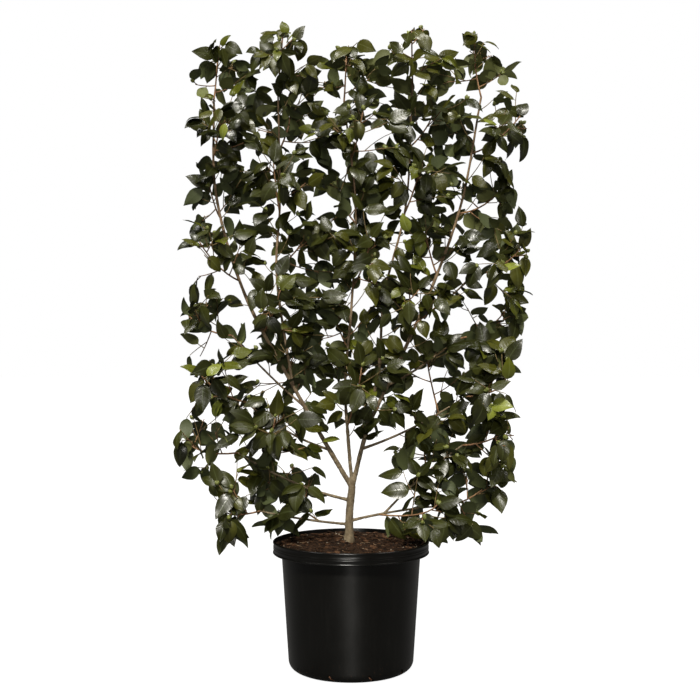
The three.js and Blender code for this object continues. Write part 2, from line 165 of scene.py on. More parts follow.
def feed(tree, node, **inputs):
    # a value is set on its socket, and a socket is linked to it; n0, n1 and so on count the sockets
    for key, value in inputs.items():
        counted = key[0] == "n" and key[1:].isdigit()
        socket = node.inputs[int(key[1:]) if counted else key.replace("_", " ")]
        if isinstance(value, bpy.types.NodeSocket):
            tree.links.new(value, socket)
        else:
            socket.default_value = (*value, 1) if socket.type == "RGBA" else value
    return node


def addNode(tree, kind, **settings):
    # the node's own settings are set on it, and the others feed its sockets
    node = tree.nodes.new("ShaderNode" + kind)
    for key in [key for key in settings if key in node.bl_rna.properties]:
        setattr(node, key, settings.pop(key))
    return feed(tree, node, **settings)


def calc(tree, operation, first, second=0.5):
    return addNode(tree, "Math", operation=operation, n0=first, n1=second).outputs[0]


def ramp(tree, value, start, end, shape="LINEAR"):
    # 0 at the start and 1 at the end
    span = addNode(tree, "MapRange", interpolation_type=shape, Value=value, From_Min=start, From_Max=end)
    return span.outputs["Result"]


def blendValue(tree, mask, low, high):
    return addNode(tree, "MapRange", Value=mask, To_Min=low, To_Max=high).outputs["Result"]


def blendColour(tree, mask, first, second):
    return addNode(tree, "Mix", data_type="RGBA", n0=mask, n6=first, n7=second).outputs[2]


def addBump(tree, shader, height, distance, strength=1.0):
    bump = addNode(tree, "Bump", Height=height, Distance=distance, Strength=strength)
    feed(tree, shader, Normal=bump.outputs["Normal"])


def objectPlace(tree, stretch=(1, 1, 1)):
    given = addNode(tree, "TexCoord").outputs["Object"]
    return addNode(tree, "Mapping", Vector=given, Scale=stretch).outputs["Vector"]


def heightRamp(tree, place, start, end):
    return ramp(tree, addNode(tree, "SeparateXYZ", Vector=place).outputs["Z"], start, end)


def newMaterial(name, **sockets):
    material = bpy.data.materials.new(name)
    material.use_nodes = True
    tree = material.node_tree
    return material, tree, feed(tree, tree.nodes["Principled BSDF"], **sockets)


def newGroup(name, inputs, outputs):
    tree = bpy.data.node_groups.new(name, "ShaderNodeTree")
    for label, start in inputs.items():
        kind = "NodeSocketVector" if start is None else "NodeSocketFloat"
        socket = tree.interface.new_socket(name=label, in_out="INPUT", socket_type=kind)
        if start is not None:
            socket.default_value = start
    for label in outputs:
        tree.interface.new_socket(name=label, in_out="OUTPUT", socket_type="NodeSocketFloat")
    return tree, tree.nodes.new("NodeGroupInput").outputs, tree.nodes.new("NodeGroupOutput")


def makeMottle():
    # soft patches between 0 and 1
    inputs = {"Place": None, "Scale": 40.0, "From": 0.35, "To": 0.65}
    tree, given, out = newGroup("mottle", inputs, ["Mask"])
    cloud = addNode(tree, "TexNoise", Detail=4.0, Roughness=0.6, Vector=given["Place"], Scale=given["Scale"])
    feed(tree, out, Mask=ramp(tree, cloud.outputs["Fac"], given["From"], given["To"], "SMOOTHSTEP"))
    return tree


def makeFlecks():
    # small scattered spots, as lenticels, grit or splashes
    inputs = {"Place": None, "Scale": 300.0, "Size": 0.2, "Share": 0.5}
    tree, given, out = newGroup("flecks", inputs, ["Mask"])
    cells = addNode(tree, "TexVoronoi", Vector=given["Place"], Scale=given["Scale"]).outputs
    chance = addNode(tree, "SeparateColor", Color=cells["Color"]).outputs["Red"]
    spot = calc(tree, "LESS_THAN", cells["Distance"], given["Size"])
    chosen = calc(tree, "LESS_THAN", chance, given["Share"])
    feed(tree, out, Mask=calc(tree, "MULTIPLY", spot, chosen))
    return tree


def makeVeins():
    # a leaf's midrib and side veins, read from the leaf's own map
    inputs = {"Place": None, "Count": 7.0, "Slant": 2.2,
              "RibEdge": 0.055, "RibCrest": 0.015, "VeinWidth": 0.16}
    tree, given, out = newGroup("veins", inputs, ["Midrib", "Height"])
    split = addNode(tree, "SeparateXYZ", Vector=given["Place"]).outputs
    away = calc(tree, "ABSOLUTE", calc(tree, "SUBTRACT", split["X"], 0.5))
    rib = ramp(tree, away, given["RibEdge"], given["RibCrest"], "SMOOTHSTEP")
    slanted = calc(tree, "MULTIPLY", away, given["Slant"])
    rows = calc(tree, "MULTIPLY", split["Y"], given["Count"])
    swing = calc(tree, "PINGPONG", calc(tree, "SUBTRACT", rows, slanted), 0.5)
    vein = ramp(tree, swing, 0.0, given["VeinWidth"], "SMOOTHSTEP")
    feed(tree, out, Midrib=rib, Height=calc(tree, "SUBTRACT", vein, rib))
    return tree


groups = {"mottle": makeMottle(), "flecks": makeFlecks(), "veins": makeVeins()}


def useGroup(tree, kind, place, **inputs):
    return addNode(tree, "Group", node_tree=groups[kind], Place=place, **inputs).outputs


def mottled(tree, place, scale, low, high):
    return useGroup(tree, "mottle", place, Scale=scale, From=low, To=high)["Mask"]


def flecked(tree, place, scale, size, share):
    return useGroup(tree, "flecks", place, Scale=scale, Size=size, Share=share)["Mask"]


# The pot: a tapering black shell with a deep collar

potSize = {
    "height": 0.326,
    "rimRadius": 0.2,
    "beadRadius": 0.003,
    "collarHeight": 0.031,
    "collarWall": 0.005,
    "collarDip": 0.0014,
    "collarLip": 0.0006,
    "collarRibs": [(0.0115, 0), (0.0125, 0.0006), (0.0135, 0), (0.0165, 0), (0.0175, 0.0006), (0.0185, 0)],
    "shoulderRadius": 0.178,
    "shoulderBelow": 0.006,
    "wallRings": (0.1, 0.2),
    "footRadius": 0.160,
    "cornerRadius": 0.024,
    "hubRadius": 0.02,
    "wall": 0.003,
    "floor": 0.005,
    "rimDrop": 0.002,
    "sides": 160,
    "smoothBelow": 32,
    "slotCount": 10,
    "slotSize": (0.024, 0.006, 0.022),
    "slotInset": 0.006,
    "slotRounding": 0.0024,
    "slotLean": 35,
    "slotPitch": 40,
    "slotHeight": 0.014,
}

potFinish = {
    "black": (0.0021, 0.002, 0.0016),
    "hazed": (0.0042, 0.004, 0.0032),
    "hazeShare": 0.35,
    "scuffed": (0.0105, 0.01, 0.0088),
    "scuffShare": 0.25,
    "scuffStretch": (30, 30, 1.2),
    "splashed": (0.07, 0.035, 0.018),
    "splashesBelow": 0.05,
    "roughness": (0.3, 0.38),
    "grainDepth": 0.00006,
}

collarFoot = potSize["height"] - potSize["collarHeight"]
innerRadius = potSize["rimRadius"] - potSize["collarWall"]


def roundCorner(centreRadius, centreHeight, radius, fromAngle, toAngle, steps):
    angles = np.radians(np.linspace(fromAngle, toAngle, steps + 1))
    return [(centreRadius + radius * math.cos(a), centreHeight + radius * math.sin(a)) for a in angles]


def bodyRadius(height):
    corner = potSize["cornerRadius"]
    part = (height - corner) / (collarFoot + potSize["collarWall"] - corner)
    return potSize["footRadius"] + (potSize["shoulderRadius"] - potSize["footRadius"]) * part


cornerCentre = bodyRadius(potSize["cornerRadius"]) - potSize["cornerRadius"]


def raiseRings(rings):
    # carries the selected ring of edges on through each [radius, height]
    for (radius, height), (nextRadius, nextHeight) in zip(rings, rings[1:]):
        move = {"value": (0, 0, nextHeight - height)}
        bpy.ops.mesh.extrude_edges_move(TRANSFORM_OT_translate=move)
        grow = nextRadius / radius
        bpy.ops.transform.resize(value=(grow, grow, 1), center_override=(0, 0, nextHeight))


def turnedShell(name, rings, sides):
    # a closed turned body: rings from the middle of its underside round to the middle of its top
    clearSelection()
    bpy.ops.mesh.primitive_circle_add(vertices=sides, radius=rings[0][0], location=(0, 0, rings[0][1]))
    shell = bpy.context.object
    shell.name = name
    settle(shell)
    bpy.ops.object.mode_set(mode="EDIT")
    bpy.ops.mesh.select_all(action="SELECT")
    raiseRings(rings)
    bpy.ops.mesh.select_all(action="SELECT")
    bpy.ops.mesh.fill_holes(sides=0)
    closeMesh()
    return shell


def potOutside():
    size = potSize
    bead, rim, dip = size["beadRadius"], size["rimRadius"], size["collarDip"]
    corner, shoulder = size["cornerRadius"], collarFoot - size["shoulderBelow"]
    return [
        (size["hubRadius"], 0),
        (cornerCentre, 0),
        *roundCorner(cornerCentre, corner, corner, -80, 0, 8),
        *[(bodyRadius(height), height) for height in size["wallRings"]],
        (bodyRadius(shoulder), shoulder),
        (size["shoulderRadius"], collarFoot + size["collarWall"]),
        (rim - 2.2 * bead, collarFoot + size["collarLip"]),
        *roundCorner(rim - bead * 0.8, collarFoot + bead * 0.8, bead * 0.8, -90, 80, 5),
        (rim - dip, collarFoot + 2.4 * bead),
        *[(rim - dip + rise, collarFoot + height) for height, rise in size["collarRibs"]],
        (rim - dip, size["height"] - 2.6 * bead),
        *roundCorner(rim - bead, size["height"] - bead, bead, -50, 110, 7),
    ]


def potInside():
    size = potSize
    wall = size["wall"]
    bend = size["cornerRadius"] - wall
    return [
        (innerRadius, size["height"] - size["rimDrop"]),
        (innerRadius, collarFoot + size["collarWall"]),
        (bodyRadius(collarFoot) - wall, collarFoot),
        *roundCorner(cornerCentre, size["floor"] + bend, bend, 0, -90, 5),
        (size["hubRadius"], size["floor"]),
    ]


def slotCutter():
    # one slanted block for each drain slot, all joined and rounded
    size = potSize
    cutters = []
    for i in range(size["slotCount"]):
        clearSelection()
        bpy.ops.mesh.primitive_cube_add(size=1)
        cutter = bpy.context.object
        cutter.scale = size["slotSize"]
        settle(cutter)
        cutter.rotation_euler = (math.radians(size["slotLean"]), math.radians(size["slotPitch"]), 0)
        cutter.location = (size["footRadius"] - size["slotInset"], 0, size["slotHeight"])
        settle(cutter)
        cutter.rotation_euler = (0, 0, 2 * math.pi * i / size["slotCount"])
        settle(cutter)
        cutters.append(cutter)
    cutter = pick(*cutters)
    bpy.ops.object.join()
    rounding = cutter.modifiers.new("rounding", "BEVEL")
    rounding.width, rounding.segments = size["slotRounding"], 3
    applyModifiers(cutter)
    return cutter


def makePot():
    shell = turnedShell("pot_shell", potOutside() + potInside(), potSize["sides"])
    cutter = slotCutter()
    cut = shell.modifiers.new("slots", "BOOLEAN")
    cut.operation, cut.solver, cut.object = "DIFFERENCE", "EXACT", cutter
    applyModifiers(shell)
    bpy.data.objects.remove(cutter)
    smoothPiece(shell, potSize["smoothBelow"])
    finishPiece(shell, potPlastic(), "pot_plastic", "pot")


def potPlastic():
    # moulded plastic is drawn finely from rim to foot, so its highlight is an upright streak
    gloss = {"Specular_IOR_Level": 0.26, "Anisotropic": 0.75, "Anisotropic_Rotation": 0.25}
    material, tree, shader = newMaterial("potPlastic", **gloss)
    finish, place = potFinish, objectPlace(tree)
    haze = mottled(tree, place, 9.0, 0.3, 0.75)
    fine = mottled(tree, place, 420.0, 0.2, 0.8)
    streaks = mottled(tree, objectPlace(tree, finish["scuffStretch"]), 3.0, 0.5, 0.8)
    splash = flecked(tree, place, 210.0, 0.2, 0.16)
    soiled = calc(tree, "MULTIPLY", splash, heightRamp(tree, place, finish["splashesBelow"], 0.0))
    hazeMask = blendValue(tree, haze, 0.0, finish["hazeShare"])
    scuffMask = blendValue(tree, streaks, 0.0, finish["scuffShare"])
    hazed = blendColour(tree, hazeMask, finish["black"], finish["hazed"])
    scuffed = blendColour(tree, scuffMask, hazed, finish["scuffed"])
    feed(tree, shader, Base_Color=blendColour(tree, soiled, scuffed, finish["splashed"]))
    feed(tree, shader, Roughness=blendValue(tree, haze, *finish["roughness"]))
    addBump(tree, shader, fine, finish["grainDepth"])
    return material


# The potting mix, nearly flush with the rim, with bark chips and pale grit on it

soilSize = {
    "edgeHeight": 0.317,
    "crownHeight": 0.324,
    "settled": 0.001,
    "gap": 0.0003,
    "rings": 34,
    "hubRadius": 0.004,
    "sides": 150,
    "smoothBelow": 50,
    "lumpHeights": (0.0046, 0.003),
    "lumpScales": (0.026, 0.009),
    "chips": 1500,
    "chipLength": (0.004, 0.019),
    "chipShortness": 2.2,
    "chipWidth": (0.35, 0.65),
    "chipThickness": (0.14, 0.3),
    "chipWear": 0.16,
    "chipKnocks": 0.12,
    "chipLift": 0.2,
    "redShare": 0.26,
    "grit": 110,
    "gritSize": (0.0018, 0.0042),
    "gritShape": (1, 0.85, 0.7),
    "gritLift": 0.25,
    "straws": 34,
    "strawLength": (0.008, 0.024),
    "strawGirth": (0.0011, 0.0009),
    "strawLift": 1.2,
    "rimMargin": 0.012,
    "trunkMargin": 1.2,
    "tilt": (0.6, 0.5),
    "slotCrumbs": 9,
    "crumbLength": (0.0022, 0.0046),
    "crumbShortness": 1,
    "crumbWidth": (0.5, 0.8),
    "crumbThickness": (0.3, 0.6),
    "crumbDepth": 0.0016,
    "crumbSway": 0.0016,
    "fibres": (0.13, 0.07, 0.035),
    "fibreShare": 0.7,
    "grainDepth": 0.0018,
    "seed": 71,
}

# The darkest and the lightest colour of each kind of piece
soilColours = {
    "pottingMix": ((0.011, 0.006, 0.0035), (0.028, 0.015, 0.008)),
    "slot_crumbs": ((0.06, 0.026, 0.014), (0.24, 0.12, 0.075)),
    "dark_bark_chips": ((0.012, 0.0062, 0.003), (0.048, 0.025, 0.0135)),
    "red_bark_chips": ((0.045, 0.021, 0.01), (0.13, 0.066, 0.034)),
    "pale_grit": ((0.22, 0.19, 0.14), (0.42, 0.36, 0.27)),
    "dry_straws": ((0.22, 0.13, 0.07), (0.4, 0.28, 0.17)),
}


def soilHeight(x, y):
    part = min(1.0, math.hypot(x, y) / innerRadius)
    base = soilSize["crownHeight"] - (soilSize["crownHeight"] - soilSize["edgeHeight"]) * part ** 2
    lumps = 0.0
    for rise, width in zip(soilSize["lumpHeights"], soilSize["lumpScales"]):
        lumps += rise * noise.noise((x / width, y / width, 0.5))
    return base + lumps * (1 - part ** 8) - soilSize["settled"]


def makeSoil():
    size = soilSize
    gap = size["gap"]
    edge = innerRadius - gap
    body = [(radius - gap, height + gap) for radius, height in reversed(potInside()[2:])]
    wallTop = (edge, body[-1][1] + potSize["collarWall"])
    top = [(radius, size["edgeHeight"]) for radius in np.linspace(edge, size["hubRadius"], size["rings"])]
    bed = turnedShell("potting_mix", body + [wallTop] + top, size["sides"])
    for vertex in bed.data.vertices:
        if vertex.co.z > size["edgeHeight"] - 1e-4:
            vertex.co.z = soilHeight(vertex.co.x, vertex.co.y)
    smoothPiece(bed, size["smoothBelow"])
    finishPiece(bed, pottingMix("pottingMix"), "potting_mix", "soil")


def pottingMix(name):
    material, tree, shader = newMaterial(name, Roughness=0.9, Specular_IOR_Level=0.12)
    place = objectPlace(tree)
    clods = mottled(tree, place, 75.0, 0.35, 0.65)
    crumbs = mottled(tree, place, 620.0, 0.3, 0.7)
    fibres = blendValue(tree, flecked(tree, place, 420.0, 0.25, 0.12), 0, soilSize["fibreShare"])
    base = blendColour(tree, clods, *soilColours[name])
    feed(tree, shader, Base_Color=blendColour(tree, fibres, base, soilSize["fibres"]))
    addBump(tree, shader, crumbs, soilSize["grainDepth"])
    return material


def shapedTemplate(addPrimitive, shape, **how):
    # one small thing modelled once: its corners and faces are read, and copies are dealt out from them
    clearSelection()
    addPrimitive(**how)
    sample = bpy.context.object
    shape(sample)
    points = np.array([vertex.co[:] for vertex in sample.data.vertices])
    faces = [tuple(face.vertices) for face in sample.data.polygons]
    bpy.data.objects.remove(sample)
    return points, faces


def dealtPiece(name, points, faces, copies):
    # copies are lists of moved points, all with the template's faces
    count = len(points)
    places = np.concatenate(copies)
    corners = [tuple(index + count * i for index in face) for i in range(len(copies)) for face in faces]
    mesh = bpy.data.meshes.new(name)
    mesh.from_pydata(places.tolist(), [], corners)
    return addObject(name, mesh)


def chipShape(sample):
    bevel = sample.modifiers.new("worn", "BEVEL")
    bevel.width, bevel.segments, bevel.affect = soilSize["chipWear"], 1, "EDGES"
    applyModifiers(sample)
    bpy.ops.object.mode_set(mode="EDIT")
    bpy.ops.mesh.select_all(action="SELECT")
    bpy.ops.transform.vertex_random(offset=soilSize["chipKnocks"], seed=5)
    bpy.ops.object.mode_set(mode="OBJECT")


def turnBy(*angles):
    return np.array(Euler(angles).to_matrix())


def chunkSize(kind, draw):
    # the more shortness, the fewer long ones, and width and thickness are shares of the length
    length = between(soilSize[kind + "Length"], draw() ** soilSize[kind + "Shortness"])
    width = length * between(soilSize[kind + "Width"], draw())
    return np.array([length, width, length * between(soilSize[kind + "Thickness"], draw())])


def scatterOnSoil(draw, count, template, sizeOf, lift):
    # lift is how high the middle of each lies, as a share of its thickness
    keepOff = limbShape["trunk"]["footRadius"] * soilSize["trunkMargin"]
    across, along = soilSize["tilt"]
    copies = []
    while len(copies) < count:
        radius = (innerRadius - soilSize["rimMargin"]) * math.sqrt(draw())
        angle = 2 * math.pi * draw()
        x, y = radius * math.cos(angle), radius * math.sin(angle)
        size = sizeOf()
        if radius < keepOff + size[0] / 2:
            continue
        tilt = turnBy(across * (draw() - 0.5), along * (draw() - 0.5), 2 * math.pi * draw())
        place = np.array([x, y, soilHeight(x, y) + size[2] * lift])
        copies.append(template * size @ tilt.T + place)
    return copies


def crumbsInSlots(draw, template):
    # moist crumbs that lodge in the drain slots, within the thickness of the wall
    size, corner = soilSize, potSize["cornerRadius"]
    lean, pitch = math.radians(potSize["slotLean"]), math.radians(potSize["slotPitch"])
    outwards = np.array([math.cos(pitch), 0, -math.sin(pitch)])
    upwards = np.array([math.sin(pitch), 0, math.cos(pitch)])
    middle = np.array([cornerCentre, 0, corner])
    reach = potSize["slotSize"][2] / 2 - size["crumbLength"][1] / 2
    copies = []
    for i in range(potSize["slotCount"]):
        around = turnBy(0, 0, 2 * math.pi * i / potSize["slotCount"])
        for j in range(size["slotCrumbs"]):
            chunk = chunkSize("crumb", draw)
            away = reach * (2 * (j + draw()) / size["slotCrumbs"] - 1)
            aside = size["crumbSway"] * (draw() - 0.5) - math.sin(lean) * away
            slant = upwards * away * math.cos(lean)
            sunk = unit(outwards * corner + slant) * (corner - size["crumbDepth"] - chunk[2] / 2)
            tumble = turnBy(fullTurn * draw(), fullTurn * draw(), fullTurn * draw())
            place = middle + sunk + np.array([0, aside, 0])
            copies.append((template * chunk @ tumble.T + place) @ around.T)
    return copies


def makeLitter():
    size = soilSize
    draw = seeded(size["seed"])
    points, faces = shapedTemplate(bpy.ops.mesh.primitive_cube_add, chipShape, size=1)

    def chipSize():
        return chunkSize("chip", draw)

    def gritSize():
        return between(size["gritSize"], draw() ** 2) * np.array(size["gritShape"])

    def strawSize():
        return np.array([between(size["strawLength"], draw()), *size["strawGirth"]])

    chips = scatterOnSoil(draw, size["chips"], points, chipSize, size["chipLift"])
    grit = scatterOnSoil(draw, size["grit"], points, gritSize, size["gritLift"])
    straws = scatterOnSoil(draw, size["straws"], points, strawSize, size["strawLift"])
    crumbs = crumbsInSlots(draw, points)
    redOnes = int(len(chips) * size["redShare"])
    kinds = {"slot_crumbs": crumbs, "dark_bark_chips": chips[redOnes:], "red_bark_chips": chips[:redOnes],
             "pale_grit": grit, "dry_straws": straws}
    for name, copies in kinds.items():
        finishPiece(dealtPiece(name, points, faces, copies), pottingMix(name), "potting_mix")


# Curves, as functions from a fraction of their length to a place

def throughPoints(points):
    # a centripetal curve through the points
    last = len(points) - 1

    def place(part):
        span = part * last
        index = min(int(span), last - 1)
        weight = span - index
        before = points[index - 1] if index > 0 else 2 * points[0] - points[1]
        start, end = points[index], points[index + 1]
        after = points[index + 2] if index + 2 <= last else 2 * points[last] - points[last - 1]
        pairs = ((before, start), (start, end), (end, after))
        first, middle, final = (math.sqrt(np.linalg.norm(b - a)) for a, b in pairs)
        leave = (start - before) / first - (end - before) / (first + middle) + (end - start) / middle
        arrive = (end - start) / middle - (after - start) / (middle + final) + (after - end) / final
        leave, arrive = leave * middle, arrive * middle
        square = -3 * start + 3 * end - 2 * leave - arrive
        cube = 2 * start - 2 * end + leave + arrive
        return start + leave * weight + square * weight ** 2 + cube * weight ** 3

    return place


def bowed(start, middle, end):
    return lambda part: (1 - part) ** 2 * start + 2 * (1 - part) * part * middle + part ** 2 * end


def arched(start, end, bow):
    # bow is how far the curve is drawn away from its straight line
    return bowed(start, (start + end) / 2 + bow, end)


def standAt(curve, part, step=1e-4):
    # the place there, and the way that the curve heads
    return curve(part), unit(curve(min(1, part + step)) - curve(max(0, part - step)))


def lengthOf(curve, samples=24):
    places = np.array([curve(part) for part in np.linspace(0, 1, samples + 1)])
    return np.linalg.norm(np.diff(places, axis=0), axis=1).sum()


def tapering(radii):
    return lambda part: between(radii, part)


# The limbs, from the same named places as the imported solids

limbShape = {
    "trunk": {
        "height": 0.14,
        "footRadius": 0.0106,
        "forkRadius": 0.0094,
        "flare": 0.42,
        "flareHeight": 0.016,
        "lean": [(-0.005, 0), (-0.004, 0), (0.003, 0)],
    },
    "stems": [
        ("left_leader", "trunk", 0.97, (0.0064, 0.0026),
         [(-0.066, 0.004, 0.575), (-0.15, 0.008, 0.723), (-0.274, 0.006, 0.959), (-0.346, -0.004, 1.215),
          (-0.352, 0.004, 1.456)]),
        ("centre_leader", "trunk", 1, (0.0048, 0.0023),
         [(-0.008, -0.004, 0.595), (-0.015, 0.002, 0.726), (0.001, 0.008, 0.922), (0.012, -0.002, 1.18),
          (-0.018, 0.004, 1.45)]),
        ("right_leader", "trunk", 0.97, (0.006, 0.0026),
         [(0.044, 0.006, 0.613), (0.123, 0.004, 0.782), (0.217, -0.004, 0.998), (0.285, 0.002, 1.197),
          (0.334, 0.004, 1.462)]),
        ("inner_left_stem", "left_leader", 0.4, (0.0038, 0.0022),
         [(-0.19, -0.012, 1.01), (-0.182, -0.006, 1.19), (-0.188, 0.006, 1.492)]),
        ("inner_right_stem", "right_leader", 0.16, (0.0042, 0.0022),
         [(0.071, -0.014, 0.77), (0.084, -0.01, 0.95), (0.14, 0.002, 1.18), (0.158, 0.004, 1.496)]),
    ],
    "boughs": [
        ("lowest_left_bough", "trunk", 0.3, (0.0036, 0.002), (-0.232, -0.014, 0.402), -0.004),
        ("low_left_bough", "trunk", 0.74, (0.004, 0.002), (-0.292, 0.018, 0.548), -0.016),
        ("middle_left_bough", "left_leader", 0.17, (0.0032, 0.002), (-0.268, -0.02, 0.68), -0.014),
        ("upper_left_bough", "left_leader", 0.33, (0.003, 0.002), (-0.306, 0.016, 0.85), -0.008),
        ("lowest_right_bough", "trunk", 0.36, (0.0038, 0.002), (0.246, 0.014, 0.412), 0.006),
        ("low_right_bough", "lowest_right_bough", 0.36, (0.0028, 0.002), (0.284, -0.018, 0.57), 0.01),
        ("middle_right_bough", "right_leader", 0.13, (0.0034, 0.002), (0.292, 0.018, 0.692), -0.012),
        ("upper_right_bough", "right_leader", 0.33, (0.003, 0.002), (0.272, -0.016, 0.842), -0.008),
        ("high_right_bough", "right_leader", 0.5, (0.003, 0.002), (0.314, 0.014, 1.004), -0.006),
    ],
    "samples": {"trunk": 48, "stem": 56, "bough": 24},
    "clear": 0.0003,
    "ringStep": 0.004,
    "forkStub": 0.11,
    "boughStub": 0.05,
    "overlap": 0.01,
    "collar": 0.35,
    "collarLength": 0.012,
    "tuck": 0.25,
    "tuckLength": 0.012,
    "knobs": 0.16,
    "knobLength": 0.02,
    "forkSides": 20,
    "sides": 12,
    "forkVoxel": 0.0012,
    "melt": (0.6, 5),
    "trunkRelief": (0.0019, 0.014, 3),
    "relief": (0.0007, 0.006, 1),
    "reliefNarrowing": 1.6,
    "footBand": 0.003,
    "footSink": 0.004,
}

barkFinish = {
    "old": ((0.115, 0.088, 0.048), (0.29, 0.235, 0.145)),
    "young": ((0.19, 0.122, 0.065), (0.35, 0.24, 0.138)),
    "youngFrom": (0.55, 1.1),
    "furrows": (0.1, 0.06, 0.035),
    "furrowShare": 0.45,
    "furrowDepth": 0.0009,
    "pores": (0.36, 0.29, 0.2),
    "poreShare": 0.5,
    "roughness": (0.62, 0.82),
}

limbs = {}
trunkFoot = soilSize["crownHeight"] + limbShape["clear"]


def addLimb(name, parent, curve, radiusAt, kind):
    parts = np.linspace(0, 1, limbShape["samples"][kind] + 1)
    limbs[name] = {
        "parent": parent,
        "curve": curve,
        "radiusAt": radiusAt,
        "length": lengthOf(curve),
        "places": np.array([curve(part) for part in parts]),
        "radii": np.array([radiusAt(part) for part in parts]),
    }


def layOutLimbs():
    trunk = limbShape["trunk"]
    heights = [trunkFoot + trunk["height"] * i / 2 for i in range(3)]
    points = [np.array([x, y, height]) for (x, y), height in zip(trunk["lean"], heights)]
    plain = tapering((trunk["footRadius"], trunk["forkRadius"]))

    def trunkRadius(part):
        return plain(part) * (1 + trunk["flare"] * math.exp(-part * trunk["height"] / trunk["flareHeight"]))

    addLimb("trunk", None, throughPoints(points), trunkRadius, "trunk")
    for name, parent, at, radii, through in limbShape["stems"]:
        points = [limbs[parent]["curve"](at)] + [np.array(place) for place in through]
        addLimb(name, parent, throughPoints(points), tapering(radii), "stem")
    for name, parent, at, radii, tip, sag in limbShape["boughs"]:
        curve = arched(limbs[parent]["curve"](at), np.array(tip), up * sag * 2)
        addLimb(name, parent, curve, tapering(radii), "bough")


def tubePiece(name, runs, sides):
    # bevelled curves, one spline for each run of places and radii, made a mesh
    data = bpy.data.curves.new(name, "CURVE")
    data.dimensions, data.bevel_depth, data.bevel_resolution = "3D", 1.0, sides // 2 - 2
    data.use_fill_caps = True
    for places, radii in runs:
        spline = data.splines.new("POLY")
        spline.points.add(len(places) - 1)
        spline.points.foreach_set("co", np.c_[places, np.ones(len(places))].ravel())
        spline.points.foreach_set("radius", np.asarray(radii, float))
    pick(addObject(name, data))
    bpy.ops.object.convert(target="MESH")
    tube = bpy.context.object
    bpy.ops.object.mode_set(mode="EDIT")
    closeMesh()
    smoothPiece(tube)
    return tube


def limbRun(limb, fromPart, toPart, tuck=0.0, knobs=0.0):
    # rings along a stretch of a limb, with a collar where it leaves its parent
    shape = limbShape
    count = max(4, int((toPart - fromPart) * limb["length"] / shape["ringStep"]))
    parts = np.linspace(fromPart, toPart, count + 1)
    radii = []
    for part in parts:
        radius = limb["radiusAt"](part)
        away = part * limb["length"]
        if limb["parent"]:
            radius *= 1 + shape["collar"] * math.exp(-away / shape["collarLength"])
        # the limb's length sets its knobs apart from those of the others
        radius *= 1 + knobs * noise.noise((away / shape["knobLength"], limb["length"] * 9, 0.3))
        radius *= 1 - tuck * max(0.0, 1 - (toPart - part) * limb["length"] / shape["tuckLength"])
        radii.append(radius)
    return np.array([limb["curve"](part) for part in parts]), radii


def stubOf(name):
    # how much of a limb on the trunk is one skin with it
    return limbShape["boughStub" if name.endswith("bough") else "forkStub"]


def relief(piece, rise, width, passes):
    # pushes the surface in and out by a fixed pattern, as wrinkles and scars of the bark
    for i in range(passes):
        texture = bpy.data.textures.new("barkRelief", "CLOUDS")
        texture.noise_scale = width / (1 + limbShape["reliefNarrowing"] * i)
        texture.noise_depth = 3
        push = piece.modifiers.new("relief", "DISPLACE")
        push.texture, push.texture_coords = texture, "LOCAL"
        push.strength, push.mid_level = rise / (1 + i), 0.5
    applyModifiers(piece)
    smoothPiece(piece)


def makeTrunk():
    # the trunk, the fork and the first stretch of each limb on it are one skin
    runs = [limbRun(limbs["trunk"], 0, 1)]
    for name, limb in limbs.items():
        if limb["parent"] == "trunk":
            runs.append(limbRun(limb, 0, stubOf(name) / limb["length"], tuck=limbShape["tuck"]))
    skin = tubePiece("trunk_and_fork", runs, limbShape["forkSides"])
    remesh = skin.modifiers.new("skin", "REMESH")
    remesh.mode, remesh.voxel_size, remesh.use_smooth_shade = "VOXEL", limbShape["forkVoxel"], True
    smooth = skin.modifiers.new("melt", "SMOOTH")
    smooth.factor, smooth.iterations = limbShape["melt"]
    applyModifiers(skin)
    relief(skin, *limbShape["trunkRelief"])
    for vertex in skin.data.vertices:
        if vertex.co.z < trunkFoot + limbShape["footBand"]:
            vertex.co.z -= limbShape["footSink"]  # the foot goes into the uneven soil
    finishPiece(skin, limbBark(), "bark", "trunk")


def makeLimbs():
    for name, limb in limbs.items():
        if name == "trunk":
            continue
        onTrunk = limb["parent"] == "trunk"
        start = (stubOf(name) - limbShape["overlap"]) / limb["length"] if onTrunk else 0.0
        run = limbRun(limb, start, 1, knobs=limbShape["knobs"])
        piece = tubePiece(name + "_bark", [run], limbShape["sides"])
        relief(piece, *limbShape["relief"])
        finishPiece(piece, bpy.data.materials["limbBark"], "bark", name)


def limbBark():
    material, tree, shader = newMaterial("limbBark", Specular_IOR_Level=0.3)
    finish, place = barkFinish, objectPlace(tree)
    along = objectPlace(tree, (1, 1, 0.12))
    patches = mottled(tree, place, 60.0, 0.35, 0.7)
    furrows = mottled(tree, along, 900.0, 0.3, 0.75)
    pores = blendValue(tree, flecked(tree, along, 420.0, 0.28, 0.35), 0, finish["poreShare"])
    aged = heightRamp(tree, place, *finish["youngFrom"])
    old = blendColour(tree, patches, *finish["old"])
    young = blendColour(tree, patches, *finish["young"])
    base = blendColour(tree, aged, old, young)
    worn = blendColour(tree, blendValue(tree, furrows, finish["furrowShare"], 0.0), base, finish["furrows"])
    feed(tree, shader, Base_Color=blendColour(tree, pores, worn, finish["pores"]))
    feed(tree, shader, Roughness=blendValue(tree, patches, *finish["roughness"]))
    addBump(tree, shader, furrows, finish["furrowDepth"])
    return material


# The masses of foliage: their own spaces, and the rule that they grow by

sidesAcross = ("far_left", "left", "centre", "right", "far_right")
upperStems = ("left_leader", "inner_left_stem", "centre_leader", "inner_right_stem", "right_leader")

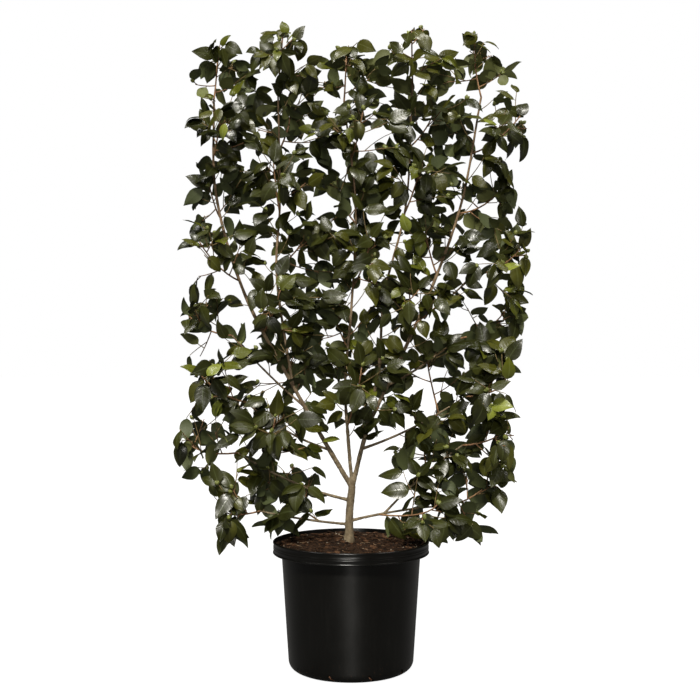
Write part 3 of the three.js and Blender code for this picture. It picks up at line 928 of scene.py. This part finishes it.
# Rows from the bottom: height, the crown's two edges, the places across and the limbs that carry them.
# A row of four has none at the centre.
massRows = [
    ("lowest", 0.395, (-0.352, 0.402), (-0.29, -0.165, 0.165, 0.31),
     ("lowest_left_bough", "lowest_left_bough", "lowest_right_bough", "lowest_right_bough")),
    ("low", 0.548, (-0.474, 0.436), (-0.372, -0.205, 0.19, 0.35),
     ("low_left_bough", "low_left_bough", "low_right_bough", "low_right_bough")),
    ("lower", 0.705, (-0.418, 0.424), (-0.33, -0.16, 0.015, 0.205, 0.352),
     ("middle_left_bough", "left_leader", "centre_leader", "middle_right_bough", "middle_right_bough")),
    ("middle", 0.865, (-0.458, 0.462), (-0.37, -0.2, -0.03, 0.15, 0.346),
     ("upper_left_bough", "left_leader", "centre_leader", "right_leader", "upper_right_bough")),
    ("upper", 1.025, (-0.44, 0.462), (-0.336, -0.15, 0.03, 0.205, 0.378),
     ("left_leader", "inner_left_stem", "centre_leader", "right_leader", "high_right_bough")),
    ("high", 1.185, (-0.434, 0.446), (-0.352, -0.19, -0.02, 0.16, 0.338), upperStems),
    ("higher", 1.345, (-0.436, 0.464), (-0.34, -0.165, 0.015, 0.19, 0.37), upperStems),
    ("top", 1.505, (-0.43, 0.444), (-0.35, -0.18, -0.015, 0.155, 0.325), upperStems),
]

crown = {
    "spread": np.array([0.142, 0.15, 0.128]),
    "sway": 0.03,
    "stagger": 0.036,
    "lifts": {("top", "left"): -0.012, ("top", "far_right"): 0.02},
    "apart": 0.0006,
    "floor": 0.288,
    "top": 1.662,
    "potGap": 0.006,
}

growth = {
    "stride": 0.005,
    "spaceGap": 0.003,
    "footGap": 0.004,
    "footShare": 0.2,
    "stemRadii": (0.0024, 0.0017),
    "stemClimb": 0.45,
    "stemReach": 0.62,
    "stemLimit": 0.2,
    "twigs": 4,
    "twigFoot": 0.24,
    "twigTurn": 137.5,
    "retryTurn": 52,
    "twigSway": 30,
    "twigSpread": (50, 84),
    "twigFlat": 0.8,
    "twigReach": (0.56, 0.8),
    "twigLimit": 0.23,
    "twigLengths": (0.034, 0.12),
    "twigRadii": (0.0017, 0.0011),
    "twigRoom": 0.0019,
    "twigSpare": 0.0005,
    "twigSamples": 8,
    "twigLift": 0.16,
    "twigSag": -0.08,
    "twigTries": 6,
    "limbGap": 0.003,
}

# How each twig is carried on: finer side twigs, then leaves and buds along them all.
# A bow is how far aside, how far up, and what is taken off the draw for the way up. A tube is its
# steps along and its sides.
fine = {
    "sideParts": (0.36, 0.62, 0.9),
    "sideSpread": (28, 62),
    "sideSway": 40,
    "sideReach": (0.45, 0.95),
    "sideLook": 1.6,
    "sideLengths": (0.022, 0.085),
    "sideRadii": (0.0013, 0.0009),
    "sideLift": 0.1,
    "sideTries": 4,
    "sideBow": (0.1, 0.08, 0.3),
    "sideCheck": 0.5,
    "retryTurn": 77,
    "stride": 0.006,
    "spare": 0.004,
    "shootSteps": (0.028, 0.075),
    "shootsFrom": 0.57,
    "bareBough": 0.36,
    "bareStem": 0.02,
    "bareTip": 0.01,
    "shootSpread": (30, 75),
    "shootAhead": 0.04,
    "shootLimit": 0.12,
    "shootLengths": (0.024, 0.085),
    "shootBow": (0.15, 0.1, 0.4),
    "shootCheck": 0.7,
    "leafSpacing": 0.07,
    "leafStart": 0.34,
    "sideLeafStart": 0.2,
    "leafEnd": 0.96,
    "leafShift": 0.3,
    "tipLeaves": (0.98, 1.0),
    "leafTries": 7,
    "leafShrink": 0.025,
    "leafRoom": 0.017,
    "leafGap": 0.0012,
    "sightRadius": 0.0029,
    "sightRoom": 0.03,
    "sightShare": 0.7,
    "outside": 0.05,
    "fullAt": 0.6,
    "patch": 0.09,
    "uneven": 0.9,
    "patchShift": 11.7,
    "fullest": 1.1,
    "fullBand": 0.2,
    "fuller": 0.2,
    "thinBelow": 1.0,
    "thinBand": 0.15,
    "thinner": 0.4,
    "budShare": 0.24,
    "axilBuds": 0.035,
    "pastLastLeaf": 0.02,
    "mainTube": (7, 8),
    "sideTube": (4, 6),
    "seedShift": 50000,
    "shootSeed": 90210,
}

# The top edge is level but for the sprigs round the twigs that reach above it
topEdge = {"level": 1.58, "sprigRise": 0.03, "sprigWidth": 0.05, "fall": 6.0}
sprigs = []

# The larger gaps between the sprays: place across, height and reach
gaps = [
    (-0.39, 1.03, 0.052), (-0.315, 0.99, 0.042), (-0.36, 1.17, 0.046), (-0.375, 0.82, 0.05),
    (-0.31, 0.9, 0.036), (-0.215, 0.73, 0.046), (-0.272, 1.305, 0.036), (-0.375, 1.5, 0.032),
    (-0.38, 0.63, 0.04), (-0.154, 0.523, 0.04), (-0.064, 0.851, 0.036), (0.021, 0.944, 0.032),
    (0.282, 0.892, 0.046), (0.305, 1.29, 0.038), (0.37, 1.18, 0.036), (0.2, 0.76, 0.036),
    (0.14, 1.1, 0.03), (-0.1, 1.21, 0.03), (0.06, 1.36, 0.028),
]


def layOutMasses():
    found = []
    for rowIndex, (row, height, edges, places, carriers) in enumerate(massRows):
        sides = [side for side in sidesAcross if len(places) == len(sidesAcross) or side != "centre"]
        for i, (side, across, carrier) in enumerate(zip(sides, places, carriers)):
            deep = crown["sway"] if (rowIndex + i) % 2 else -crown["sway"]
            rise = (crown["stagger"] if i % 2 else 0) + crown["lifts"].get((row, side), 0)
            found.append({
                "on": carrier,
                "edges": edges,
                "middle": np.array([across, deep, height + rise]),
                "seed": 100 * (rowIndex + 1) + i,
            })
    return found


masses = layOutMasses()
middles = np.array([mass["middle"] for mass in masses])


def topAt(across):
    highest = topEdge["level"]
    for middle, tip in sprigs:
        aside = max(0.0, abs(across - middle) - topEdge["sprigWidth"] / 2)
        highest = max(highest, tip + topEdge["sprigRise"] - topEdge["fall"] * aside)
    return highest


def inCrown(mass, place, margin):
    # inside the reach of the crown round this mass
    if np.linalg.norm((place - mass["middle"]) / crown["spread"]) > 1:
        return False
    if not mass["edges"][0] + margin <= place[0] <= mass["edges"][1] - margin:
        return False
    if not crown["floor"] + margin <= place[2] <= crown["top"] - margin:
        return False
    gap = crown["potGap"] + margin
    overPot = math.hypot(place[0], place[1]) < potSize["rimRadius"] + gap
    return not (overPot and place[2] < potSize["height"] + gap)


def nearerThanOthers(mass, place):
    # how far inside its own share of the crown a place lies
    own = mass["middle"]
    apart = np.linalg.norm(middles - own, axis=1)
    others = apart > 0
    nearer = ((place - middles[others]) ** 2).sum(axis=1) - ((place - own) ** 2).sum()
    return (nearer / (2 * apart[others])).min()


def inSpace(mass, place, margin):
    return inCrown(mass, place, margin) and nearerThanOthers(mass, place) > margin + crown["apart"]


def strides(start, heading, limit, stride, inside):
    # as many strides as stay inside, and their length in all
    far = 0
    while (far + 1) * stride <= limit and inside(start + heading * (far + 1) * stride):
        far += 1
    return far * stride


def reachIn(mass, start, heading, limit):
    inside = lambda place: inSpace(mass, place, growth["spaceGap"])
    return strides(start, heading, limit, growth["stride"], inside)


def clearOfLimbs(place, gap):
    return bool((np.linalg.norm(limbPlaces - place, axis=1) >= limbRadii + gap).all())


def footOf(mass):
    # where its stem leaves the limb: near the foot of the stretch in its space, or at the limb's tip
    places = limbs[mass["on"]]["places"]
    within = [i for i, place in enumerate(places) if inSpace(mass, place, growth["footGap"])]
    if within[-1] == len(places) - 1:
        return places[-1]
    return places[within[int(len(within) * growth["footShare"])]]


def turnedAbout(vector, axis, degrees):
    angle = math.radians(degrees)
    across, along = np.cross(axis, vector), axis * axis.dot(vector)
    return vector * math.cos(angle) + across * math.sin(angle) + along * (1 - math.cos(angle))


def sidewaysOf(along):
    return unit(np.cross((0, 1, 0), along))


def leaning(along, out, degrees, lift):
    # the way along, turned outwards by so many degrees and a little up
    spread = math.radians(degrees)
    return unit(along * math.cos(spread) + out * math.sin(spread) + up * lift)


def twigFits(mass, curve, radius):
    samples = growth["twigSamples"]
    places = [curve(i / samples) for i in range(2, samples + 1)]
    if not all(inSpace(mass, place, radius + growth["twigSpare"]) for place in places):
        return False
    return all(clearOfLimbs(place, radius + growth["limbGap"]) for place in places)


def growTwigs(mass):
    # the stem and its twigs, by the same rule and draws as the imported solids
    draw = seeded(mass["seed"])
    foot, middle = footOf(mass), mass["middle"]
    heading = unit(unit(middle - foot) + up * growth["stemClimb"])
    tip = middle + heading * reachIn(mass, middle, heading, growth["stemLimit"]) * growth["stemReach"]
    stem = bowed(foot, middle * 2 - (foot + tip) / 2, tip)
    twigs = [{"curve": stem, "radii": growth["stemRadii"]}]
    for i in range(growth["twigs"]):
        start, along = standAt(stem, growth["twigFoot"] + (1 - growth["twigFoot"]) * i / growth["twigs"])
        sideways = sidewaysOf(along)
        for go in range(growth["twigTries"]):
            turn = growth["twigTurn"] * i + growth["retryTurn"] * go + growth["twigSway"] * (draw() - 0.5)
            out = turnedAbout(sideways, along, turn)
            out[1] *= growth["twigFlat"]
            heading = leaning(along, unit(out), between(growth["twigSpread"], draw()), growth["twigLift"])
            reach = reachIn(mass, start, heading, growth["twigLimit"])
            length = min(reach * between(growth["twigReach"], draw()), growth["twigLengths"][1])
            if length < growth["twigLengths"][0]:
                continue
            curve = arched(start, start + heading * length, up * growth["twigSag"] * length)
            if twigFits(mass, curve, growth["twigRoom"]):
                twigs.append({"curve": curve, "radii": growth["twigRadii"]})
                break
    return twigs


def nearestMass(place):
    return masses[int(((middles - place) ** 2).sum(axis=1).argmin())]


def inWholeCrown(place):
    if not cadBounds[0][0] - fine["spare"] < place[0] < cadBounds[1][0] + fine["spare"]:
        return False
    return inCrown(nearestMass(place), place, 0.0) and place[2] < topAt(place[0])


def reachOut(mass, start, heading, limit):
    # as far as the crown goes, and a little way into the masses beside this one
    inside = lambda place: inWholeCrown(place) and nearerThanOthers(mass, place) >= -fine["outside"]
    return strides(start, heading, limit, fine["stride"], inside)


def thickness(place):
    # how full the crown is at a place: fuller and thinner patches, fullest across its middle, thin below
    patch = noise.noise(tuple(place / fine["patch"] + fine["patchShift"]))
    middle = math.exp(-((place[2] - fine["fullest"]) / fine["fullBand"]) ** 2)
    low = held((fine["thinBelow"] - place[2]) / fine["thinBand"])
    return 1 + fine["uneven"] * patch + fine["fuller"] * middle - fine["thinner"] * low


def inGap(place):
    return any(math.hypot(place[0] - across, place[2] - height) < reach for across, height, reach in gaps)


def overThickLimb(place):
    # whether the middle of a leaf lies over one of the thicker limbs, as seen from the front or the back
    thick = limbRadii > fine["sightRadius"]
    away = np.hypot(limbPlaces[thick, 0] - place[0], limbPlaces[thick, 2] - place[2])
    return bool(away.min() < fine["sightRoom"])


def fineTwig(start, heading, out, length, kind, draw):
    # a side twig or a shoot, a little bowed, or None where it would touch a limb
    aside, rise, level = fine[kind + "Bow"]
    bow = (out * aside + up * rise * (draw() - level)) * length
    curve = arched(start, start + heading * length, bow)
    if clearOfLimbs(curve(1), fine["leafGap"]) and clearOfLimbs(curve(fine[kind + "Check"]), fine["leafGap"]):
        return {"curve": curve, "radii": fine["sideRadii"]}


def growLimbShoots(draw):
    # short leafy shoots straight from the stems and boughs, at uneven steps
    grown = []
    for name, limb in limbs.items():
        if name == "trunk":
            continue
        away = limb["length"] * fine["bareBough" if name.endswith("bough") else "bareStem"]
        turn = 360 * draw()
        while away < limb["length"] - fine["bareTip"]:
            start, along = standAt(limb["curve"], away / limb["length"])
            away += between(fine["shootSteps"], draw())
            turn += growth["twigTurn"]
            if start[2] < fine["shootsFrom"] and not name.endswith("bough"):
                continue
            for go in range(fine["sideTries"]):
                out = turnedAbout(sidewaysOf(along), along, turn + fine["retryTurn"] * go)
                heading = leaning(along, out, between(fine["shootSpread"], draw()), fine["sideLift"])
                mass = nearestMass(start + heading * fine["shootAhead"])
                reach = reachOut(mass, start, heading, fine["shootLimit"])
                length = min(reach, between(fine["shootLengths"], draw()))
                if length < fine["shootLengths"][0]:
                    continue
                shoot = fineTwig(start, heading, out, length, "shoot", draw)
                if shoot:
                    grown.append(shoot)
                    break
    return grown


def growSideTwigs(mass, twigs, draw):
    # finer twigs round each twig, turned on from one to the next
    grown = []
    for index, twig in enumerate(twigs):
        parts = fine["sideParts"][1:] if index == 0 else fine["sideParts"]
        for i, part in enumerate(parts):
            start, along = standAt(twig["curve"], part)
            for go in range(fine["sideTries"]):
                turn = growth["twigTurn"] * (i + index) + fine["retryTurn"] * go
                turn += fine["sideSway"] * (draw() - 0.5)
                out = turnedAbout(sidewaysOf(along), along, turn)
                heading = leaning(along, out, between(fine["sideSpread"], draw()), fine["sideLift"])
                reach = reachOut(mass, start, heading, fine["sideLengths"][1] * fine["sideLook"])
                length = min(reach * between(fine["sideReach"], draw()), fine["sideLengths"][1])
                if length < fine["sideLengths"][0]:
                    continue
                sideTwig = fineTwig(start, heading, out, length, "side", draw)
                if sideTwig:
                    grown.append(sideTwig)
                    break
    return grown


# One leaf, as a share of its length where no unit is given
leafSize = {
    "length": (0.052, 0.073),
    "width": (0.5, 0.62),
    "lowGain": (0.14, 0.5, 1.0),
    "middle": 0.55,
    "bladeFrom": 0.072,
    "stalkTo": 0.1,
    "stalkWidth": 0.0009,
    "rows": (0.0, 0.06, 0.13, 0.22, 0.33, 0.44, 0.55, 0.66, 0.77, 0.87, 0.95, 1.0),
    "columns": (-1.0, -0.55, 0.0, 0.55, 1.0),
    "outline": (0.64, 1.14),
    "fold": (8, 30),
    "curl": (8, 80),
    "cup": 0.9,
    "twist": 30,
    "wave": 0.02,
    "waves": (7, 1.3),
    "teeth": 0.012,
    "feelers": ((0.3, 0), (0.55, 0.24), (0.55, -0.24), (0.8, 0), (1, 0)),
}

# How a leaf stands on its twig. It faces out of the flat fan and up, and a pair of numbers is
# what the draw is multiplied by and what is added.
leafStance = {
    "sideSway": 0.06,
    "fanWidth": 0.9,
    "faceSway": 1.8,
    "faceUp": (2.3, -0.15),
    "ahead": 0.8,
    "besideTip": 0.9,
    "beside": (0.8, 0.45),
    "droop": (1.15, -0.1),
}

# Buds stand in clusters, and each is widest past its foot and pointed
budSize = {
    "fewest": 2,
    "more": 3,
    "spread": 1.1,
    "hang": 0.3,
    "length": (0.01, 0.016),
    "girth": 0.34,
    "swell": 0.8,
    "pointed": 0.97,
    "tipGirth": 0.02,
}

# Leaf tints, dealt out by spray. The young ones stand along the top, and most of them at its right end,
# and the lowest sprays are old and dark.
tints = [
    {"name": "deep", "lift": 0.0, "share": 0.40, "size": 1.0,
     "top": (0.0192, 0.0213, 0.0036), "under": (0.052, 0.063, 0.022)},
    {"name": "middle", "lift": 0.0, "share": 0.30, "size": 1.0,
     "top": (0.0318, 0.0348, 0.0056), "under": (0.068, 0.08, 0.026)},
    {"name": "olive", "lift": 0.1, "share": 0.21, "size": 0.97,
     "top": (0.056, 0.057, 0.0062), "under": (0.094, 0.102, 0.03)},
    {"name": "young", "lift": 0.35, "share": 0.07, "size": 0.9,
     "top": (0.085, 0.095, 0.0078), "under": (0.12, 0.135, 0.036)},
    {"name": "pale", "lift": 0.6, "share": 0.02, "size": 0.85,
     "top": (0.175, 0.2, 0.026), "under": (0.22, 0.24, 0.08)},
]
youngCorner = {"from": (0.16, 1.44), "share": 0.66}
youngTop = {"from": 1.5, "share": 0.52}
oldFoot = {"below": 0.5, "share": 0.74}

leafFinish = {
    "shine": 0.38,
    "darker": 0.72,
    "ribShare": 0.55,
    "roughness": (0.27, 0.4),
    "underRoughness": 0.6,
    "veinDepth": (0.0003, 0.45),
}

# The darkest and the lightest colour of the twigs and of the bud scales
twigColours = {
    "twigBark": ((0.13, 0.062, 0.028), (0.3, 0.17, 0.08)),
    "shootBark": ((0.09, 0.06, 0.022), (0.2, 0.14, 0.055)),
    "budScales": ((0.08, 0.095, 0.016), (0.19, 0.205, 0.05)),
}

leafMiddles = []  # the middle of every leaf so far, so that no two lie in one place


def leafPose(place, along, hand, atTip, lift, draw):
    # the way that a leaf points, the way across it, and the way that its upper side faces
    stance = leafStance
    side = -1 if place[1] + stance["sideSway"] * (draw() - 0.5) < 0 else 1
    outwards = place[0] / stance["fanWidth"] + stance["faceSway"] * (draw() - 0.5)
    face = np.array([outwards, side, stance["faceUp"][0] * draw() + stance["faceUp"][1]])
    across = unit(np.cross(along, face))
    if atTip:
        ahead, beside = 1.0, stance["besideTip"] * (draw() - 0.5)
    else:
        ahead = stance["ahead"] * draw()
        beside = hand * (stance["beside"][1] + stance["beside"][0] * draw())
    droop = stance["droop"][0] * draw() + stance["droop"][1] - lift
    heading = unit(along * ahead + across * beside - up * droop)
    across = unit(np.cross(heading, face))
    return heading, across, unit(np.cross(across, heading))


def leafFits(root, heading, across, length):
    feelers = leafSize["feelers"]
    blade = [root + heading * length * reach + across * length * beside for reach, beside in feelers]
    inside = all(inWholeCrown(place) for place in blade[1:])
    return inside and all(clearOfLimbs(place, fine["leafGap"]) for place in blade)


def isFine(twig):
    return twig["radii"] is fine["sideRadii"]


def leafParts(twig, draw):
    # the leaves' places along a twig: more where the crown is fuller, and two at the tip
    length = lengthOf(twig["curve"]) * thickness(twig["curve"](fine["fullAt"]))
    start = fine["sideLeafStart"] if isFine(twig) else fine["leafStart"]
    count = max(1, round(length * (1 - start) / fine["leafSpacing"]))
    steps = (np.arange(count) + fine["leafShift"] * draw()) / count
    return [*(start + (fine["leafEnd"] - start) * steps), *fine["tipLeaves"]]


def growLeaf(curve, part, turn, tint, gain, draw):
    # one leaf as its root, heading, sides, size and shape, or None where it never fits
    root, along = standAt(curve, part)
    for go in range(fine["leafTries"]):
        hand = 1 if (turn + go) % 2 else -1
        heading, across, face = leafPose(root, along, hand, part >= fine["tipLeaves"][0], tint["lift"], draw)
        size = between(leafSize["length"], draw()) * (1 - fine["leafShrink"] * go) * tint["size"] * gain
        middle = root + heading * size * leafSize["middle"]
        if leafMiddles and np.linalg.norm(np.array(leafMiddles) - middle, axis=1).min() < fine["leafRoom"]:
            continue
        if inGap(middle) or overThickLimb(middle) and draw() < fine["sightShare"]:
            continue
        if leafFits(root, heading, across, size):
            leafMiddles.append(middle)
            shape = [between(leafSize[key], draw()) for key in ("width", "fold", "curl")]
            shape += [leafSize["twist"] * (2 * draw() - 1), fullTurn * draw()]
            return root, heading, across, face, size, shape


def growLeaves(twigs, draw):
    leaves, buds = [], []
    for index, twig in enumerate(twigs):
        curve = twig["curve"]
        parts = leafParts(twig, draw)
        tint = dealTint(curve(1), draw)
        more, low, high = leafSize["lowGain"]
        gain = 1 + more * held((high - curve(1)[2]) / (high - low))
        twig["end"] = 0.0
        for i, part in enumerate(parts):
            leaf = growLeaf(curve, part, i + index, tint, gain, draw)
            if leaf:
                twig["end"] = part
                leaves.append((tint["name"], leaf))
                if draw() < fine["axilBuds"]:
                    root, along = standAt(curve, part)
                    buds += growBuds(root, unit(along + leaf[1]), draw)
        if draw() < fine["budShare"] and twig["end"] > 0:
            buds += growBuds(*standAt(curve, twig["end"]), draw)
    return leaves, buds


def growBuds(place, along, draw):
    cluster = []
    for i in range(budSize["fewest"] + int(budSize["more"] * draw())):
        lean = np.array([draw() - 0.5, draw() - 0.5, draw() - budSize["hang"]])
        cluster.append((place, unit(along + budSize["spread"] * lean), between(budSize["length"], draw())))
    return cluster


def dealTint(place, draw):
    chance = draw()
    if place[0] > youngCorner["from"][0] and place[2] > youngCorner["from"][1]:
        chance = chance * (1 - youngCorner["share"]) + youngCorner["share"]
    elif place[2] > youngTop["from"]:
        chance = chance * (1 - youngTop["share"]) + youngTop["share"]
    elif place[2] < oldFoot["below"]:
        chance *= oldFoot["share"]
    for tint in tints:
        chance -= tint["share"]
        if chance < 0:
            return tint
    return tints[-1]


def halfWidths(size, width):
    # half the leaf's width at each row, widest below the middle, with small teeth and a thin stalk
    rows = np.array(leafSize["rows"])
    blade = np.clip((rows - leafSize["bladeFrom"]) / (1 - leafSize["bladeFrom"]), 0, 1)
    first, second = leafSize["outline"]
    peak = (first / (first + second)) ** first * (second / (first + second)) ** second
    half = size * width / 2 * blade ** first * (1 - blade) ** second / peak
    half *= 1 + leafSize["teeth"] * np.where(np.arange(len(rows)) % 2, 1, -1)
    return np.maximum(half, leafSize["stalkWidth"] * (rows < leafSize["stalkTo"]))


def leafPoints(root, heading, across, face, size, shape):
    # rows of points from the stalk to the tip, folded at the midrib, curled down and a little twisted
    width, fold, curl, twist, phase = shape
    rows, half = leafSize["rows"], halfWidths(size, width)
    along, beside = leafSize["waves"]
    points = []
    place, bend = root.copy(), 0.0
    for i, row in enumerate(rows):
        if i:
            step = (row - rows[i - 1]) * size
            bend += math.radians(curl) * (row - rows[i - 1])
            place = place + (heading * math.cos(bend) - face * math.sin(bend)) * step
        if i == len(rows) - 1:
            points.append(place)
            break
        normal = face * math.cos(bend) + heading * math.sin(bend)
        turn = math.radians(twist) * row
        side = across * math.cos(turn) + normal * math.sin(turn)
        lift = unit(normal * math.cos(turn) - across * math.sin(turn))
        for column in leafSize["columns"]:
            out = column * half[i]
            rise = abs(out) * math.tan(math.radians(fold)) - leafSize["cup"] * out ** 2 / (size * width)
            ripple = math.sin(phase + along * row + beside * column) * (0 < i)
            rise += leafSize["wave"] * size * abs(column) * ripple
            points.append(place + side * out + lift * rise)
    return np.array(points)


def leafFaceList():
    rows, columns = len(leafSize["rows"]) - 1, len(leafSize["columns"])
    faces = []
    for row in range(rows - 1):
        for column in range(columns - 1):
            corner = row * columns + column
            faces.append((corner, corner + 1, corner + columns + 1, corner + columns))
    tip, last = rows * columns, (rows - 1) * columns
    faces += [(last + column, last + column + 1, tip) for column in range(columns - 1)]
    return faces


def leafMap():
    flat = [((column + 1) / 2, row) for row in leafSize["rows"][:-1] for column in leafSize["columns"]]
    return np.array(flat + [(0.5, 1.0)])


def makeLeafPieces(leaves):
    faces, flat = leafFaceList(), leafMap()
    for tint in tints:
        chosen = [leafPoints(*leaf) for name, leaf in leaves if name == tint["name"]]
        if not chosen:
            continue
        piece = dealtPiece(tint["name"] + "_leaves", flat, faces, chosen)
        layer = piece.data.uv_layers.new(name="leafMap")
        owners = np.empty(len(piece.data.loops), int)
        piece.data.loops.foreach_get("vertex_index", owners)
        layer.data.foreach_set("uv", flat[owners % len(flat)].ravel())
        smoothPiece(piece)
        finishPiece(piece, leafSurface(tint), "leaves", *foliageNodes)
    report("%d leaves" % len(leaves))


def leafSurface(tint):
    finish = leafFinish
    material, tree, shader = newMaterial(tint["name"] + "Leaf", Specular_IOR_Level=finish["shine"])
    veins = useGroup(tree, "veins", addNode(tree, "UVMap", uv_map="leafMap").outputs["UV"])
    patches = mottled(tree, objectPlace(tree), 26.0, 0.3, 0.7)
    behind = addNode(tree, "NewGeometry").outputs["Backfacing"]
    darker = tuple(value * finish["darker"] for value in tint["top"])
    top = blendColour(tree, patches, darker, tint["top"])
    rib = blendValue(tree, veins["Midrib"], 0, finish["ribShare"])
    ribbed = blendColour(tree, rib, top, tint["under"])
    feed(tree, shader, Base_Color=blendColour(tree, behind, ribbed, tint["under"]))
    gloss = blendValue(tree, patches, *finish["roughness"])
    matte = blendValue(tree, behind, 0.0, finish["underRoughness"])
    feed(tree, shader, Roughness=calc(tree, "MAXIMUM", gloss, matte))
    addBump(tree, shader, veins["Height"], *finish["veinDepth"])
    return material


def twigTubes(name, twigs, steps, sides):
    runs = []
    for twig in twigs:
        # a finer twig ends at its last leaf
        end = min(1.0, twig["end"] + fine["pastLastLeaf"]) if isFine(twig) else 1.0
        parts = np.linspace(0, end, steps + 1)
        radii = [between(twig["radii"], part) for part in parts]
        runs.append(([twig["curve"](part) for part in parts], radii))
    return tubePiece(name, runs, sides)


def makeTwigPieces(twigs):
    main = [twig for twig in twigs if not isFine(twig)]
    side = [twig for twig in twigs if isFine(twig) and twig["end"] > 0]
    brown, green = twigBark("twigBark"), twigBark("shootBark")
    finishPiece(twigTubes("twigs", main, *fine["mainTube"]), brown, "bark", *foliageNodes)
    finishPiece(twigTubes("side_twigs", side, *fine["sideTube"]), green, "bark", *foliageNodes)
    report("%d twigs and %d side twigs" % (len(main), len(side)))


def twigBark(name):
    material, tree, shader = newMaterial(name, Roughness=0.6, Specular_IOR_Level=0.35)
    place = objectPlace(tree)
    patches = mottled(tree, place, 90.0, 0.35, 0.65)
    grain = mottled(tree, place, 900.0, 0.3, 0.7)
    feed(tree, shader, Base_Color=blendColour(tree, patches, *twigColours[name]))
    addBump(tree, shader, grain, 0.0003)
    return material


def budShape(sample):
    # a pointed bud along +X, with its foot at the origin
    sample.rotation_euler = (0, math.radians(90), 0)
    settle(sample)
    for vertex in sample.data.vertices:
        part = vertex.co.x + 0.5
        swell = min(budSize["pointed"], part ** budSize["swell"])
        girth = budSize["girth"] * math.sin(math.pi * swell) + budSize["tipGirth"]
        around = math.atan2(vertex.co.z, vertex.co.y)
        reach = girth if math.hypot(vertex.co.y, vertex.co.z) > 1e-4 else 0
        vertex.co = (part, reach * math.cos(around), reach * math.sin(around))


def makeBuds(buds):
    sphere = {"segments": 7, "ring_count": 6, "radius": 0.5}
    points, faces = shapedTemplate(bpy.ops.mesh.primitive_uv_sphere_add, budShape, **sphere)
    copies = []
    for place, heading, size in buds:
        side = unit(np.cross(heading, (0.3, 0.9, 0.2)))
        axes = np.array([heading, side, np.cross(heading, side)])
        copies.append(points * size @ axes + place)
    piece = dealtPiece("buds", points, faces, copies)
    smoothPiece(piece)
    material, tree, shader = newMaterial("budScales", Roughness=0.45)
    patches = mottled(tree, objectPlace(tree), 260.0, 0.35, 0.65)
    feed(tree, shader, Base_Color=blendColour(tree, patches, *twigColours["budScales"]))
    finishPiece(piece, material, "leaves", *foliageNodes)
    report("%d buds" % len(buds))


def makeCrown():
    leaves, buds, allTwigs = [], [], []

    def clothe(twigs, draw):
        newLeaves, newBuds = growLeaves(twigs, draw)
        allTwigs.extend(twigs)
        leaves.extend(newLeaves)
        buds.extend(newBuds)

    grown = [growTwigs(mass) for mass in masses]
    tips = [twig["curve"](1) for twigs in grown for twig in twigs]
    sprigs.extend((tip[0], tip[2]) for tip in tips if tip[2] > topEdge["level"] - topEdge["sprigRise"])
    for mass, twigs in zip(masses, grown):
        draw = seeded(mass["seed"] + fine["seedShift"])
        clothe(twigs + growSideTwigs(mass, twigs, draw), draw)
    draw = seeded(fine["shootSeed"])
    for shoot in growLimbShoots(draw):
        clothe([shoot], draw)
    makeTwigPieces(allTwigs)
    makeLeafPieces(leaves)
    makeBuds(buds)


# The studio: a pale floor, soft light and the camera at the photograph's height

studio = {
    "floor": 60.0,
    "camera": (-0.0026, -2.951, 0.813),
    "lens": 59.2,
    "sensor": 36.0,
    "skyForCamera": 1.0,
    "skyLight": 0.22,
    "skyForGloss": 0.015,
    "floorShade": 0.06,
    "floorGlow": 0.97,
    # name, azimuth and elevation, strength, angle, colour, and whether gloss shows it
    "suns": [
        ("key", (-9, 50), 4.4, 8, (1.0, 0.97, 0.9), True),
        ("front", (1, 12), 0.9, 10, (1.0, 0.97, 0.92), True),
        ("right", (92, 60), 1.0, 12, (1.0, 0.98, 0.94), True),
        ("left", (-92, 60), 1.0, 12, (1.0, 0.98, 0.94), True),
        ("back", (178, 50), 3.4, 10, (1.0, 0.98, 0.94), False),
    ],
}


def makeStudio():
    scene = bpy.context.scene
    clearSelection()
    bpy.ops.mesh.primitive_plane_add(size=studio["floor"], location=(0, 0, 0))
    floor = bpy.context.object
    floor.name = "floor"
    material, tree, shader = newMaterial("floorPaint", Roughness=0.9, Base_Color=(studio["floorShade"],) * 3)
    seen = addNode(tree, "LightPath").outputs["Is Camera Ray"]
    glow = blendColour(tree, seen, (0, 0, 0), (1, 1, 1))
    feed(tree, shader, Emission_Color=glow, Emission_Strength=studio["floorGlow"])
    floor.data.materials.append(material)
    for name, (azimuth, elevation), strength, angle, colour, inGloss in studio["suns"]:
        data = bpy.data.lights.new(name, "SUN")
        data.energy, data.angle, data.color = strength, math.radians(angle), colour
        lamp = addObject(name, data)
        lamp.rotation_euler = (math.radians(90 - elevation), 0, math.radians(azimuth))
        lamp.visible_glossy = inGloss
    world = bpy.data.worlds.new("studioLight")
    world.use_nodes = True
    tree = world.node_tree
    path = addNode(tree, "LightPath").outputs
    soft = blendValue(tree, path["Is Glossy Ray"], studio["skyLight"], studio["skyForGloss"])
    strength = blendValue(tree, path["Is Camera Ray"], soft, studio["skyForCamera"])
    feed(tree, tree.nodes["Background"], Color=(1, 1, 1), Strength=strength)
    scene.world = world
    data = bpy.data.cameras.new("camera")
    data.lens, data.sensor_width = studio["lens"], studio["sensor"]
    scene.camera = addObject("camera", data)
    scene.camera.location, scene.camera.rotation_euler = studio["camera"], (math.radians(90), 0, 0)
    scene.view_settings.view_transform = "Standard"


makeStudio()
report("studio")
layOutLimbs()
limbPlaces = np.concatenate([limb["places"] for limb in limbs.values()])
limbRadii = np.concatenate([limb["radii"] for limb in limbs.values()])
makePot()
makeSoil()
makeLitter()
report("pot and potting mix")
makeTrunk()
makeLimbs()
report("trunk and limbs")
makeCrown()
